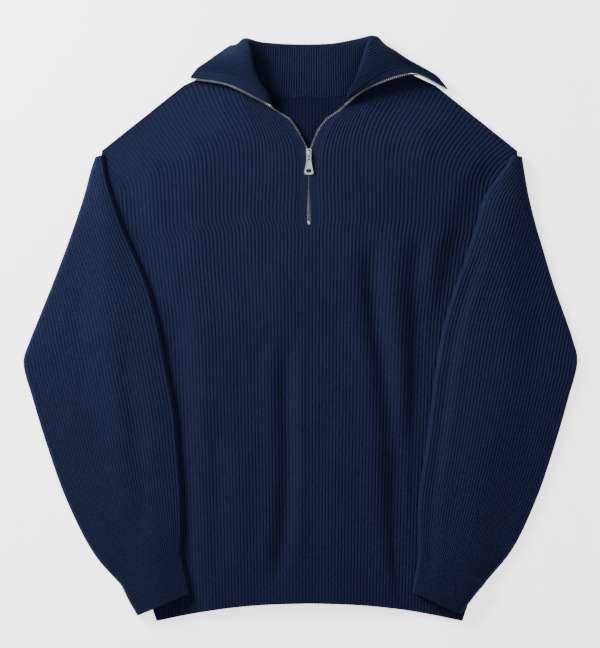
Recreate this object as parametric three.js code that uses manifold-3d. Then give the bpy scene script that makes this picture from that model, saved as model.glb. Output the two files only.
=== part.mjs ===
// Quarter zip sweater in a rib knit, laid flat on its back, collar open, zip open to mid chest.
// Millimetres. The floor is z = 0, +Z is up, +Y runs towards the collar and +X to the right as seen
// from above. All tables are drawn about the garment's centre line, and the finished group is moved
// so that the origin is under the middle of the whole outline.

import * as THREE from 'three';
import Module from 'manifold-3d';
import { mergeVertices } from 'three/addons/utils/BufferGeometryUtils.js';

const wasm = await Module();
wasm.setup();

// Driving dimensions
const WALL = 2.6;            // thickness of the knit
const SEAM_GAP = 0.3;        // space left between two sewn pieces
const RIB_RISE = 0.8;        // how far a rib stands proud of the wall
const CENTRE_SHIFT = 11.5;   // garment centre line from the middle of the outline
const MIDDLE_SHIFT_Y = 0.25;

const FRONT_RIBS = 49;       // ribs across each half of the front
const FRONT_INNER_STEPS = 20;
const PLAIN_BAND = 12;       // flat band beside the zip, without ribs

const SLEEVE_RIBS = 40;
const SLEEVE_EDGE = 3.0;     // turn of the wall at a flattened tube's edge
const SLEEVE_OVER = 7.0;     // height of the sleeve's underside where it lies on the body
const SLEEVE_EDGE_FULL = 5.8;
const SLEEVE_MID_FULL = 13.0;
const SLEEVE_STEP = 6.5;     // run of the step down from the body's side to the floor
const STEP_SPACE = 2.0;      // from the body's side to the top of that step
const SLEEVE_INNER_STEPS = 10;

const FRONT_REST = WALL + SEAM_GAP;   // underside of the front where it lies on the back

const clamp = (value, low, high) => Math.min(Math.max(value, low), high);
const mix = (a, b, t) => a + (b - a) * t;

function smooth(from, to, value) {
  const t = clamp((value - from) / (to - from), 0, 1);
  return t * t * (3 - 2 * t);
}

// Reads one column of a table at a key, with straight runs between the rows.
function readTable(rows, key, column, at) {
  const rising = rows[rows.length - 1][key] > rows[0][key];
  const ordered = rising ? rows : [...rows].reverse();
  let index = 0;
  while (index < ordered.length - 2 && at > ordered[index + 1][key]) index += 1;
  const a = ordered[index];
  const b = ordered[index + 1];
  const t = clamp((at - a[key]) / (b[key] - a[key]), 0, 1);
  return mix(a[column], b[column], t);
}

// Collects triangles over shared points. A triangle whose corners fall together is left out.
class Shell {
  // sign is 1 for the right half and -1 for the left, whose points are given as mirror images.
  constructor(sign = 1) {
    this.points = [];
    this.triangles = [];
    this.known = new Map();
    this.sign = sign;
  }

  point(p) {
    const placed = [p.x * this.sign, p.y, p.z];
    const label = placed.map((value) => Math.round(value * 1000)).join(',');
    if (!this.known.has(label)) {
      this.known.set(label, this.points.length);
      this.points.push(placed);
    }
    return this.known.get(label);
  }

  triangle(a, b, c) {
    const corners = [this.point(a), this.point(b), this.point(c)];
    if (new Set(corners).size < 3) return;
    this.triangles.push(this.sign > 0 ? corners : corners.reverse());
  }

  // A grid of points whose columns run along u and rows along v, seen from its u cross v side.
  sheet(grid, turned = false) {
    for (let i = 0; i + 1 < grid.length; i += 1) {
      for (let j = 0; j + 1 < grid[i].length; j += 1) {
        const a = grid[i][j];
        const b = grid[i][j + 1];
        const c = grid[i + 1][j + 1];
        const d = grid[i + 1][j];
        if (turned) {
          this.triangle(a, c, b);
          this.triangle(a, d, c);
        } else {
          this.triangle(a, b, c);
          this.triangle(a, c, d);
        }
      }
    }
  }

  // Closes the edge between an upper and a lower line, which may have different numbers of points.
  stitch(upper, lower, upperAt, lowerAt) {
    let i = 0;
    let j = 0;
    while (i + 1 < upper.length || j + 1 < lower.length) {
      const upperNext = i + 1 < upper.length ? upperAt[i + 1] : Infinity;
      const lowerNext = j + 1 < lower.length ? lowerAt[j + 1] : Infinity;
      if (lowerNext <= upperNext) {
        this.triangle(upper[i], lower[j], lower[j + 1]);
        j += 1;
      } else {
        this.triangle(upper[i], lower[j], upper[i + 1]);
        i += 1;
      }
    }
  }

  mesh(name, material) {
    const geometry = new THREE.BufferGeometry();
    geometry.setAttribute('position', new THREE.Float32BufferAttribute(this.points.flat(), 3));
    geometry.setIndex(this.triangles.flat());
    geometry.computeVertexNormals();
    const mesh = new THREE.Mesh(geometry, material);
    mesh.name = name;
    return mesh;
  }
}

// Adds a wall between an upper and a lower grid. upperAt and lowerAt place the columns of each
// along the edge. startOpen and endOpen say between which rows the first and the last column are
// free edges, which need a face of their own.
function addWall(shell, { upper, lower, upperAt, lowerAt, startOpen = () => true, endOpen = () => true }) {
  shell.sheet(upper);
  shell.sheet(lower, true);
  const last = upper.length - 1;
  shell.stitch(upper[0], lower[0], upperAt, lowerAt);
  const reversed = (line) => [...line].reverse();
  const mirroredAt = (at) => [...at].reverse().map((value) => -value);
  shell.stitch(reversed(upper[last]), reversed(lower[last]), mirroredAt(upperAt), mirroredAt(lowerAt));
  const end = (grid, i) => grid[i][grid[i].length - 1];
  const ends = [0, 1];
  for (let i = 0; i < last; i += 1) {
    if (endOpen(i)) {
      shell.stitch([end(upper, i), end(upper, i + 1)], [end(lower, i), end(lower, i + 1)], ends, ends);
    }
    if (startOpen(i)) {
      shell.stitch([upper[i + 1][0], upper[i][0]], [lower[i + 1][0], lower[i][0]], ends, ends);
    }
  }
}

// Materials
const knit = (color, roughness = 0.95) => new THREE.MeshStandardMaterial({
  color, roughness, metalness: 0,
});
const metal = () => new THREE.MeshStandardMaterial({ color: 0xb9bcc0, roughness: 0.35, metalness: 0.9 });
const NAVY_BODY = 0x16203a;
const NAVY_SLEEVE = 0x18223c;
const NAVY_COLLAR = 0x28334a;

// The body's side: half width at each height, from the hem up the side seam and the armhole.
const SIDE = [
  { y: -374, x: 194 },
  { y: -353, x: 199 },
  { y: -310, x: 213 },
  { y: -205, x: 240 },
  { y: -100, x: 259 },
  { y: -2, x: 270 },
  { y: 60, x: 266 },
  { y: 100, x: 263 },
  { y: 150, x: 262 },
  { y: 190, x: 264 },
  { y: 226, x: 264 },
];
const sideAt = (y) => readTable(SIDE, 'y', 'x', y);

// Rows of the front, from the hem up. left and right are the distances of the zip's edges from the
// centre line, outerY is the height at which the row meets the side, rise is the fullness at the
// middle, coverLeft and coverRight are the shares of the half width that a sleeve leaves bare,
// shoulder bends the row to the neckline and shoulder, and hem bends it to the hem's curve.
const FRONT_ROWS = [
  {
    innerY: -349.5, left: 0, right: 0, outerY: -372,
    rise: 5.2, coverLeft: 0.78, coverRight: 0.68, shoulder: 0, hem: 1,
  },
  {
    innerY: -290, left: 0, right: 0, outerY: -312,
    rise: 6.6, coverLeft: 0.76, coverRight: 0.63, shoulder: 0, hem: 0.8,
  },
  {
    innerY: -190, left: 0, right: 0, outerY: -205,
    rise: 9.2, coverLeft: 0.68, coverRight: 0.58, shoulder: 0, hem: 0.2,
  },
  {
    innerY: -90, left: 0, right: 0, outerY: -100,
    rise: 9.6, coverLeft: 0.67, coverRight: 0.59, shoulder: 0, hem: 0,
  },
  {
    innerY: 0, left: 0, right: 0, outerY: -8,
    rise: 9.6, coverLeft: 0.68, coverRight: 0.61, shoulder: 0.04, hem: 0,
  },
  {
    innerY: 75, left: 0, right: 0, outerY: 60,
    rise: 9.2, coverLeft: 0.8, coverRight: 0.71, shoulder: 0.12, hem: 0,
  },
  {
    innerY: 128, left: 0, right: 0, outerY: 98,
    rise: 8.6, coverLeft: 0.85, coverRight: 0.78, shoulder: 0.18, hem: 0,
  },
  {
    innerY: 134, left: 3.1, right: 1.1, outerY: 103,
    rise: 8.5, coverLeft: 0.86, coverRight: 0.79, shoulder: 0.2, hem: 0,
  },
  {
    innerY: 190, left: 1.8, right: -0.2, outerY: 140,
    rise: 8.2, coverLeft: 0.91, coverRight: 0.85, shoulder: 0.34, hem: 0,
  },
  {
    innerY: 228, left: 4.5, right: 2.5, outerY: 170,
    rise: 7.6, coverLeft: 0.94, coverRight: 0.9, shoulder: 0.44, hem: 0,
  },
  {
    innerY: 253, left: 17.5, right: 12.8, outerY: 190,
    rise: 4.6, coverLeft: 0.97, coverRight: 0.94, shoulder: 0.52, hem: 0,
  },
  {
    innerY: 266, left: 27, right: 23, outerY: 205,
    rise: 2.2, coverLeft: 0.98, coverRight: 0.96, shoulder: 0.58, hem: 0,
  },
  {
    innerY: 278, left: 42, right: 41, outerY: 226,
    rise: 0, coverLeft: 1, coverRight: 1, shoulder: 1, hem: 0,
  },
];
const TOP_ROW = FRONT_ROWS.length - 1;
const HEM_CURVE = 6;         // how far the hem's edge bows up between the centre and the corner

// Long soft folds pressed into the front, each with its distance from the centre line at two
// heights.
const FOLDS = [
  { half: 'left', lowY: -250, lowX: 34, highY: -60, highX: 28, width: 11, depth: 2.6 },
  { half: 'left', lowY: -290, lowX: 120, highY: -165, highX: 126, width: 22, depth: 1.8 },
  { half: 'right', lowY: -300, lowX: 118, highY: 75, highX: 84, width: 15, depth: 3.6 },
  { half: 'right', lowY: -110, lowX: 148, highY: 110, highX: 152, width: 18, depth: 2.4 },
];
const FOLD_END = 60;         // run over which a fold fades out at its two ends

function foldDepth(half, x, y) {
  let depth = 0;
  for (const fold of FOLDS) {
    if (fold.half !== half) continue;
    const t = (y - fold.lowY) / (fold.highY - fold.lowY);
    const middle = mix(fold.lowX, fold.highX, clamp(t, -0.3, 1.3));
    const fade = smooth(fold.lowY - FOLD_END, fold.lowY, y) * (1 - smooth(fold.highY, fold.highY + FOLD_END, y));
    depth += fold.depth * fade * Math.exp(-(((x - middle) / fold.width) ** 2));
  }
  return depth * smooth(0, 12, x);
}

// The collar, as sections from each zip edge to the middle of the back. Each section runs from the
// neckline seam up the stand, over the roll and down the fall to the free edge. x is the distance
// from the centre line, and all points are in the middle of the wall.
const COLLAR_LEFT = [
  { seam: [42, 278, 7.4], waist: [51.5, 284.6, 15], roll: [66, 292.5, 16.5], drop: [104, 310.5, 17], edge: [152, 319, 11] },
  { seam: [54, 290, 6.3], waist: [50.5, 291, 13.5], roll: [55, 297, 19.5], drop: [99, 323, 20], edge: [143, 330, 11.5] },
  { seam: [68, 305, 5.2], waist: [61, 305, 14.5], roll: [64, 312, 23.5], drop: [95, 333, 23], edge: [130, 339, 10.5] },
  { seam: [80, 320, 4.6], waist: [69, 321, 15.5], roll: [71.5, 328, 27], drop: [92, 343, 26], edge: [114, 350, 9] },
  { seam: [90, 332, 4.2], waist: [74, 341, 15.5], roll: [75.5, 349, 28], drop: [87, 356, 25], edge: [99, 359, 6] },
  { seam: [80, 322, 1.5], waist: [73, 347, 12.5], roll: [77.5, 363, 23], drop: [83, 367, 13], edge: [88, 357, 1.5] },
  { seam: [60, 305, 1.3], waist: [59, 335, 8], roll: [60, 362, 12], drop: [61, 356, 1.6], edge: [66, 322, 1.3] },
  { seam: [32, 294.6, 1.3], waist: [31, 328, 7], roll: [30, 360, 8.5], drop: [30, 352, 1.3], edge: [31, 312, 1.3] },
];
const COLLAR_RIGHT = [
  { seam: [41, 281, 7.4], waist: [56.5, 295, 17.5], roll: [84, 310.5, 25], drop: [131, 323, 27], edge: [176, 304, 11] },
  { seam: [52, 292, 6.3], waist: [48.5, 294, 14], roll: [54, 301, 21], drop: [112, 333, 30], edge: [164, 318, 13] },
  { seam: [65, 307, 5.2], waist: [57.5, 308, 15], roll: [60, 315, 24], drop: [105, 341, 30], edge: [144, 330, 12] },
  { seam: [77, 321, 4.6], waist: [64.5, 327, 16], roll: [67, 334, 28], drop: [98, 350, 28], edge: [123, 342, 10] },
  { seam: [90, 333, 4.2], waist: [71, 346, 15.5], roll: [72.5, 353, 29], drop: [88, 359, 25], edge: [104, 355, 6] },
  { seam: [80, 323, 1.5], waist: [71.5, 350, 12.5], roll: [77, 367, 24], drop: [85, 369.5, 13], edge: [91, 360, 1.5] },
  { seam: [60, 305, 1.3], waist: [59, 338, 8], roll: [60, 366, 12.5], drop: [61, 360, 1.6], edge: [66, 322, 1.3] },
  { seam: [32, 294.6, 1.3], waist: [31, 328, 7], roll: [31, 361, 8.5], drop: [31, 353, 1.3], edge: [31, 312, 1.3] },
];
const COLLAR_MIDDLE = {
  seam: [0, 294.6, 1.3], waist: [0, 328, 6.5], roll: [0, 359.6, 8.2], drop: [0, 352, 1.3], edge: [0, 312, 1.3],
};
const SECTION_PARTS = ['seam', 'waist', 'roll', 'drop', 'edge'];
const NECK_POINT = 4;        // the section that stands at the end of the shoulder seam
const COLLAR_RIBS = [4, 5, 4, 3, 3, 5, 7, 7];        // between one section and the next
const COLLAR_HEIGHTS = [0, 0.25, 0.42, 0.5, 0.58, 0.67, 0.78, 1];
const COLLAR_INNER_STEPS = 2;                        // on the plain face, between sections
const CORNER_SPACE = 0.6;    // more of the same at the zip, where the collar turns over the front
const NECK_SPACE = 2.2;      // from the middle of the collar's wall to the front's neck edge

const vector = ([x, y, z], sign = 1) => new THREE.Vector3(x * sign, y, z);
const COLLAR_SECTIONS = [
  ...COLLAR_LEFT.map((section) => ({ section, sign: -1 })),
  { section: COLLAR_MIDDLE, sign: 1 },
  ...[...COLLAR_RIGHT].reverse().map((section) => ({ section, sign: 1 })),
];
const COLLAR_SPANS = COLLAR_SECTIONS.length - 1;
const collarLines = SECTION_PARTS.map((part) => new THREE.CatmullRomCurve3(
  COLLAR_SECTIONS.map(({ section, sign }) => vector(section[part], sign)),
  false,
  'centripetal',
));

// A point in the middle of the collar's wall, along from the left zip edge (0) to the right (16)
// and up from the seam (0) to the free edge (1).
function collarPoint(along, up) {
  const across = collarLines.map((line) => line.getPoint(clamp(along / COLLAR_SPANS, 0, 1)));
  const point = new THREE.CatmullRomCurve3(across, false, 'centripetal').getPoint(up);
  point.z = Math.max(point.z, WALL / 2);
  return point;
}

function collarNormal(along, up) {
  const step = 0.02;
  const before = collarPoint(Math.max(along - step, 0), up);
  const after = collarPoint(Math.min(along + step, COLLAR_SPANS), up);
  const below = collarPoint(along, Math.max(up - step, 0));
  const above = collarPoint(along, Math.min(up + step, 1));
  return after.sub(before).cross(above.sub(below)).normalize();
}

function collarFace(columns, offsetAt) {
  return COLLAR_HEIGHTS.map((up) => columns.map((column) => {
    const normal = collarNormal(column.along, up);
    const point = collarPoint(column.along, up).addScaledVector(normal, offsetAt(column, normal));
    point.z = Math.max(point.z, 0);
    return point;
  }));
}

function collar() {
  const counts = [...COLLAR_RIBS, ...[...COLLAR_RIBS].reverse()];
  const fine = [{ along: 0, ridge: false }];
  counts.forEach((count, span) => {
    for (let k = 1; k <= 2 * count; k += 1) {
      fine.push({ along: span + k / (2 * count), ridge: k % 2 === 1 });
    }
  });
  const coarse = [];
  for (let k = 0; k <= COLLAR_SPANS * COLLAR_INNER_STEPS; k += 1) coarse.push({ along: k / COLLAR_INNER_STEPS });
  const plainEnd = 0.8;      // the band beside each zip edge has no ribs
  const ribAt = (column, normal) => {
    const bare = column.along < plainEnd || column.along > COLLAR_SPANS - plainEnd;
    return column.ridge && !bare ? RIB_RISE * smooth(0, 0.4, normal.z) : 0;
  };
  const shell = new Shell();
  addWall(shell, {
    upper: collarFace(fine, (column, normal) => WALL / 2 + ribAt(column, normal)),
    lower: collarFace(coarse, () => -WALL / 2),
    upperAt: fine.map((column) => column.along),
    lowerAt: coarse.map((column) => column.along),
  });
  return shell.mesh('collar', knit(NAVY_COLLAR));
}

// The neck edge of the front, from the zip (0) to the shoulder seam (1), just clear of the collar.
function neckEdge(half, t) {
  const along = half === 'left' ? t * NECK_POINT : COLLAR_SPANS - t * NECK_POINT;
  const sign = half === 'left' ? -1 : 1;
  const step = 0.05;
  const ahead = collarPoint(along - step * sign, 0);
  const behind = collarPoint(along + step * sign, 0);
  const run = ahead.sub(behind);
  run.x *= sign;
  run.z = 0;
  run.normalize();
  const seam = collarPoint(along, 0);
  const space = NECK_SPACE + CORNER_SPACE * (1 - t);
  return { x: seam.x * sign + run.y * space, y: seam.y - run.x * space };
}

const NECK_SHARE = 0.26;     // share of the front's top edge that is neckline
const SHOULDER_BEND = { u: 0.52, x: 160, y: 308 };   // where the shoulder line turns down
const NECK_LIFT = 1.8;       // how far the front's neck edge stands up at the zip

// A point on the underside of the front, u from the centre or zip edge (0) to the side (1).
function frontPoint(half, i, u) {
  const row = FRONT_ROWS[i];
  const side = sideAt(row.outerY);
  const x0 = row[half];
  let x = mix(x0, side, u);
  let y = mix(row.innerY, row.outerY, u);
  const top = FRONT_ROWS[TOP_ROW];
  const topStart = neckEdge(half, 0);
  const topEnd = { x: sideAt(top.outerY), y: top.outerY };
  const neck = neckEdge(half, 1);
  const shoulder = [
    { u: NECK_SHARE, ...neck },
    SHOULDER_BEND,
    { u: 1, ...topEnd },
  ];
  const edge = u < NECK_SHARE
    ? neckEdge(half, u / NECK_SHARE)
    : { x: readTable(shoulder, 'u', 'x', u), y: readTable(shoulder, 'u', 'y', u) };
  if (i === TOP_ROW) {
    x = edge.x;
    y = edge.y;
  } else {
    x += row.shoulder * (edge.x - mix(topStart.x, topEnd.x, u));
    y += row.shoulder * (edge.y - mix(topStart.y, topEnd.y, u)) + row.hem * HEM_CURVE * Math.sin(Math.PI * u);
  }
  const cover = half === 'left' ? row.coverLeft : row.coverRight;
  const bare = 1 - smooth(cover - 0.28, cover - 0.03, u);
  const neckLift = i === TOP_ROW ? NECK_LIFT * clamp(1 - u / NECK_SHARE, 0, 1) ** 2 : 0;
  const z = FRONT_REST + row.rise * bare + neckLift - Math.min(foldDepth(half, x, y), row.rise * bare);
  return new THREE.Vector3(x, y, z);
}

function frontPanel() {
  const shell = new Shell();
  const fine = [];
  for (let k = 0; k <= 2 * FRONT_RIBS; k += 1) fine.push(k / (2 * FRONT_RIBS));
  const coarse = [];
  for (let k = 0; k <= FRONT_INNER_STEPS; k += 1) coarse.push(k / FRONT_INNER_STEPS);
  const slitFoot = FRONT_ROWS.findIndex((row) => row.left > 0) - 1;
  for (const half of ['left', 'right']) {
    shell.sign = half === 'left' ? -1 : 1;
    const upper = FRONT_ROWS.map((row, i) => fine.map((u, k) => {
      const point = frontPoint(half, i, u);
      const bare = i > slitFoot && (point.x - row[half]) < PLAIN_BAND;
      point.z += WALL + (k % 2 === 1 && !bare ? RIB_RISE : 0);
      return point;
    }));
    const lower = FRONT_ROWS.map((row, i) => coarse.map((u) => frontPoint(half, i, u)));
    addWall(shell, { upper, lower, upperAt: fine, lowerAt: coarse, startOpen: (i) => i >= slitFoot });
  }
  return shell.mesh('front_panel', knit(NAVY_BODY));
}

// The back lies flat under the front, with a shallow neckline.
const BACK_NECK = [
  { u: 0, x: 0, y: 293.2 },
  { u: 0.12, x: 31, y: 293.2 },
  { u: 0.2, x: 61, y: 302 },
  { u: 0.26, x: 82.5, y: 317.6 },
  { u: 0.3, x: 96, y: 324.6 },
  { u: 0.54, x: 160, y: 308 },
  { u: 1, x: 264, y: 226 },
];
const BACK_COLUMNS = [0, 0.12, 0.16, 0.2, 0.26, 0.3, 0.42, 0.54, 0.77, 1];
const BACK_HEM_INSET = 1;    // the back's hem stays just inside the front's

function backPoint(i, u) {
  const row = FRONT_ROWS[i];
  const middleY = Math.min(row.innerY, 276);
  const edge = { x: readTable(BACK_NECK, 'u', 'x', u), y: readTable(BACK_NECK, 'u', 'y', u) };
  if (i === TOP_ROW) return new THREE.Vector3(edge.x, edge.y, 0);
  const top = FRONT_ROWS[TOP_ROW];
  const side = sideAt(row.outerY);
  const x = mix(0, side, u) + row.shoulder * (edge.x - mix(0, sideAt(top.outerY), u));
  const arch = row.hem * HEM_CURVE * Math.sin(Math.PI * u) + (i === 0 ? BACK_HEM_INSET : 0);
  const y = mix(middleY, row.outerY, u) + row.shoulder * (edge.y - mix(294, top.outerY, u)) + arch;
  return new THREE.Vector3(x, y, 0);
}

function backPanel() {
  const shell = new Shell();
  for (const sign of [-1, 1]) {
    shell.sign = sign;
    const lower = FRONT_ROWS.map((row, i) => BACK_COLUMNS.map((u) => backPoint(i, u)));
    const upper = lower.map((line) => line.map((point) => point.clone().setZ(WALL)));
    addWall(shell, { upper, lower, upperAt: BACK_COLUMNS, lowerAt: BACK_COLUMNS, startOpen: () => false });
  }
  return shell.mesh('back_panel', knit(NAVY_BODY));
}

// Sleeves, from the shoulder to the cuff. Each row has a point on the outer edge and one on the
// inner edge, which lies on the body. x is the distance from the centre line.
const SLEEVE_LEFT = [
  { outerX: 272.5, outerY: 218, innerX: 261, innerY: 221 },
  { outerX: 278, outerY: 202, innerX: 257, innerY: 193 },
  { outerX: 286, outerY: 172, innerX: 247, innerY: 160 },
  { outerX: 297, outerY: 138, innerX: 234, innerY: 124 },
  { outerX: 310, outerY: 101, innerX: 219, innerY: 90 },
  { outerX: 326, outerY: 59, innerX: 203, innerY: 50 },
  { outerX: 344, outerY: 14, innerX: 190, innerY: 2 },
  { outerX: 356, outerY: -16, innerX: 184, innerY: -30 },
  { outerX: 364, outerY: -42, innerX: 178, innerY: -62 },
  { outerX: 352, outerY: -90, innerX: 170, innerY: -106 },
  { outerX: 332, outerY: -155, innerX: 165, innerY: -164 },
  { outerX: 310, outerY: -216, innerX: 161, innerY: -222 },
  { outerX: 274, outerY: -287, innerX: 161, innerY: -258 },
  { outerX: 239.5, outerY: -326.5, innerX: 163, innerY: -284.5 },
];
const SLEEVE_RIGHT = [
  { outerX: 270.5, outerY: 218, innerX: 258, innerY: 221 },
  { outerX: 273, outerY: 202, innerX: 245, innerY: 200 },
  { outerX: 279, outerY: 168, innerX: 222, innerY: 168 },
  { outerX: 288, outerY: 132, innerX: 210, innerY: 128 },
  { outerX: 298, outerY: 98, innerX: 199, innerY: 94 },
  { outerX: 311, outerY: 55, innerX: 183, innerY: 48 },
  { outerX: 327, outerY: 10, innerX: 169, innerY: 0 },
  { outerX: 335, outerY: -14, innerX: 164, innerY: -28 },
  { outerX: 341, outerY: -40, innerX: 159, innerY: -58 },
  { outerX: 329, outerY: -90, innerX: 153, innerY: -106 },
  { outerX: 310, outerY: -155, innerX: 146, innerY: -160 },
  { outerX: 289, outerY: -216, innerX: 138, innerY: -216 },
  { outerX: 258, outerY: -281, innerX: 137, innerY: -256 },
  { outerX: 225, outerY: -321.5, innerX: 138.5, innerY: -285 },
];
const CUFF_LEFT = [
  { outerX: 239.3, outerY: -326.9, innerX: 162.8, innerY: -284.9 },
  { outerX: 229, outerY: -348, innerX: 156, innerY: -311 },
  { outerX: 219, outerY: -365, innerX: 151.5, innerY: -336 },
];
const CUFF_RIGHT = [
  { outerX: 224.8, outerY: -321.9, innerX: 138.3, innerY: -285.4 },
  { outerX: 207, outerY: -343, innerX: 134.5, innerY: -310 },
  { outerX: 193, outerY: -362.5, innerX: 130, innerY: -334 },
];
const ARMHOLE_ROWS = 7;      // rows above the underarm, where the tube is slit along the armhole

// Long soft grooves pressed into the sleeves, at a distance from the inner edge.
const SLEEVE_GROOVES = {
  left: { from: 52, width: 14, depth: 1.6, lowY: -230, highY: -50 },
  right: { from: 17, width: 8, depth: 1.4, lowY: -290, highY: 60 },
};
const GROOVE_END = 50;

// The side as the panels' straight runs make it.
const PANEL_SIDE = FRONT_ROWS.map((row) => ({ y: row.outerY, x: sideAt(row.outerY) }));
const panelSideAt = (y) => readTable(PANEL_SIDE, 'y', 'x', y);
const ARMHOLE_SPACE = 0.5;   // from the body's edge to the sleeve's, where they are sewn together

function sleeveLine(half, row, closed, count, outside) {
  const a = { x: row.outerX, y: row.outerY };
  const b = { x: row.innerX, y: row.innerY };
  const width = Math.hypot(a.x - b.x, a.y - b.y);
  const spot = (s, z) => new THREE.Vector3(mix(b.x, a.x, s / width), mix(b.y, a.y, s / width), z);
  let low = 0;
  let high = width;
  for (let k = 0; k < 40; k += 1) {
    const middle = (low + high) / 2;
    const point = spot(middle, 0);
    if (point.x < panelSideAt(point.y)) low = middle;
    else high = middle;
  }
  const seam = low;
  const fullness = Math.min(SLEEVE_MID_FULL, SLEEVE_EDGE_FULL + 0.12 * width);
  const near = outside ? Math.min(SLEEVE_EDGE, width * 0.22) : Math.min(SLEEVE_EDGE + 1, width * 0.3);
  const far = width - near;
  const aboard = closed && seam + SLEEVE_STEP + 4 > far;
  const base = (s) => SLEEVE_OVER * (aboard ? 1 : 1 - smooth(seam - 25, seam + SLEEVE_STEP + 22, s));
  const groove = SLEEVE_GROOVES[half];
  const topAt = (s) => {
    const { y } = spot(s, 0);
    const fade = smooth(groove.lowY - GROOVE_END, groove.lowY, y)
      * (1 - smooth(groove.highY, groove.highY + GROOVE_END, y));
    const dip = groove.depth * fade * Math.exp(-(((s - groove.from) / groove.width) ** 2));
    const arc = Math.sin((Math.PI * clamp(s, 0, width)) / width) ** 0.7;
    return base(s) + mix(SLEEVE_EDGE_FULL, fullness, arc) - dip;
  };
  const skin = outside ? 0 : WALL;
  const inset = outside ? 0 : Math.min(WALL, width * 0.24);
  const points = [];
  const at = [];
  const add = (s, z, place) => {
    points.push(spot(s, z));
    at.push(place);
  };
  const floor = (aboard ? SLEEVE_OVER : 0) + skin;
  const over = SLEEVE_OVER + skin;
  const stepTop = Math.min(seam + STEP_SPACE, far - 3);
  const stepMiddle = Math.min(seam + STEP_SPACE + SLEEVE_STEP / 2, far - 2);
  const stepFoot = Math.min(seam + STEP_SPACE + SLEEVE_STEP, far - 1);
  if (closed) {
    add(stepMiddle, (floor + over) / 2, 0);
    add(stepFoot, floor, 0.2);
  } else {
    add(Math.min(seam + ARMHOLE_SPACE, far - 0.4), floor, 0);
    add(Math.min(seam + 2, far - 0.3), floor, 0.2);
  }
  add(mix(closed ? stepFoot : Math.min(seam + 2, far - 0.3), far, 0.5), floor, 0.5);
  add(far, floor, 0.9);
  add(width - inset, base(width) + SLEEVE_EDGE_FULL / 2, 1);
  for (let k = count; k >= 0; k -= 1) {
    const place = 1 + (0.05 + 0.9 * (1 - k / count));
    const ridge = outside && k % 2 === 1 ? RIB_RISE : 0;
    const s = outside ? Math.min(near + k * row.pitch, far) : mix(near, far, k / count);
    add(s, topAt(s) - skin + (s < far ? ridge : 0), place);
  }
  add(inset, base(0) + SLEEVE_EDGE_FULL / 2, 2);
  add(near, over, 2.1);
  add(mix(near, seam, 0.5), over, 2.5);
  if (closed) {
    add(stepTop, over, 2.8);
    add(stepMiddle, (floor + over) / 2, 3);
  } else {
    add(Math.max(seam - 2, near + 0.3), over, 2.8);
    add(Math.max(seam, near + 0.6), over, 3);
  }
  return { points, at };
}

// The ribs keep their pitch from the shoulder to the elbow, where the outer edge cuts across them,
// and then draw in with the sleeve down to the cuff.
function withPitch(rows, count) {
  const widths = rows.map((row) => Math.hypot(row.outerX - row.innerX, row.outerY - row.innerY));
  const widest = widths.indexOf(Math.max(...widths));
  return rows.map((row, i) => ({
    ...row,
    pitch: ((i <= widest ? widths[widest] : widths[i]) - 2 * SLEEVE_EDGE) / count,
  }));
}

function tube(name, half, rows, openRows) {
  const shell = new Shell(half === 'left' ? -1 : 1);
  const pitched = withPitch(rows, 2 * SLEEVE_RIBS);
  const closed = (i) => i >= openRows;
  const outer = pitched.map((row, i) => sleeveLine(half, row, closed(i), 2 * SLEEVE_RIBS, true));
  const inner = pitched.map((row, i) => sleeveLine(half, row, closed(i), SLEEVE_INNER_STEPS, false));
  const free = (i) => !(closed(i) && closed(i + 1));
  addWall(shell, {
    upper: outer.map((line) => line.points),
    lower: inner.map((line) => line.points),
    upperAt: outer[0].at,
    lowerAt: inner[0].at,
    startOpen: free,
    endOpen: free,
  });
  return shell.mesh(name, knit(NAVY_SLEEVE));
}

// The zip. Each half is a tape with its row of teeth as one bead, sewn inside the cloth's edge. The
// section is drawn about the cloth's edge: into is the distance into the cloth, and inner is the
// distance from the middle of the wall towards its inner face.
const ZIP_CENTRE_X = -1;
const TAPE_WIDTH = 6;
const NARROW_TAPE = 1.5;
const CORNER_CLEAR = 2.3;    // from the front's upper corner to the zip, where it turns
const TURN_DROP = 0.4;       // the zip sits a little lower where it nears the collar
const TURN_TAPE = 0.4;       // the tape is tucked in where the collar turns over
const TUCK_CLEAR = 0.6;      // there and at its turn, the zip stands this much further off the cloth
const CURL_FROM = 0.6;       // from here up, the right leaf curls down over its zip
const TAPE_FROM = WALL / 2 + SEAM_GAP;
const TAPE_TO = TAPE_FROM + 0.8;
const BEAD_WIDTH = 1.9;
const BEAD_SPACE = 0.5;      // from the cloth's edge to the teeth
const BEAD_FRONT = -1.0;
const BEAD_BACK = 2.2;
const BEAD_SLOPE = 0.15;     // the bead's side leans this far from the tape
const CHAIN_SPACE = 0.15;    // from the closed zip's centre to each row
const ZIP_FOOT_Y = 131;
const CORNER_LAPS = [0.05, 0.3, 0.62];       // where the run on the collar starts and thickens
const SLIM_SECTION = [      // the bead where it turns over the front's corner
  [-0.75, -0.1], [-0.95, -0.1], [-1.00, -0.8], [-1.4, -0.8], [-1.4, 0.0], [-1.00, 0.0], [-0.95, 0.1], [-0.75, 0.1],
];
const SLIM_CENTRE = { into: -1.1, towards: -0.4 };
const SLIM_ROOT = 0.8;       // how far the slim bead starts inside the full one

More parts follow.
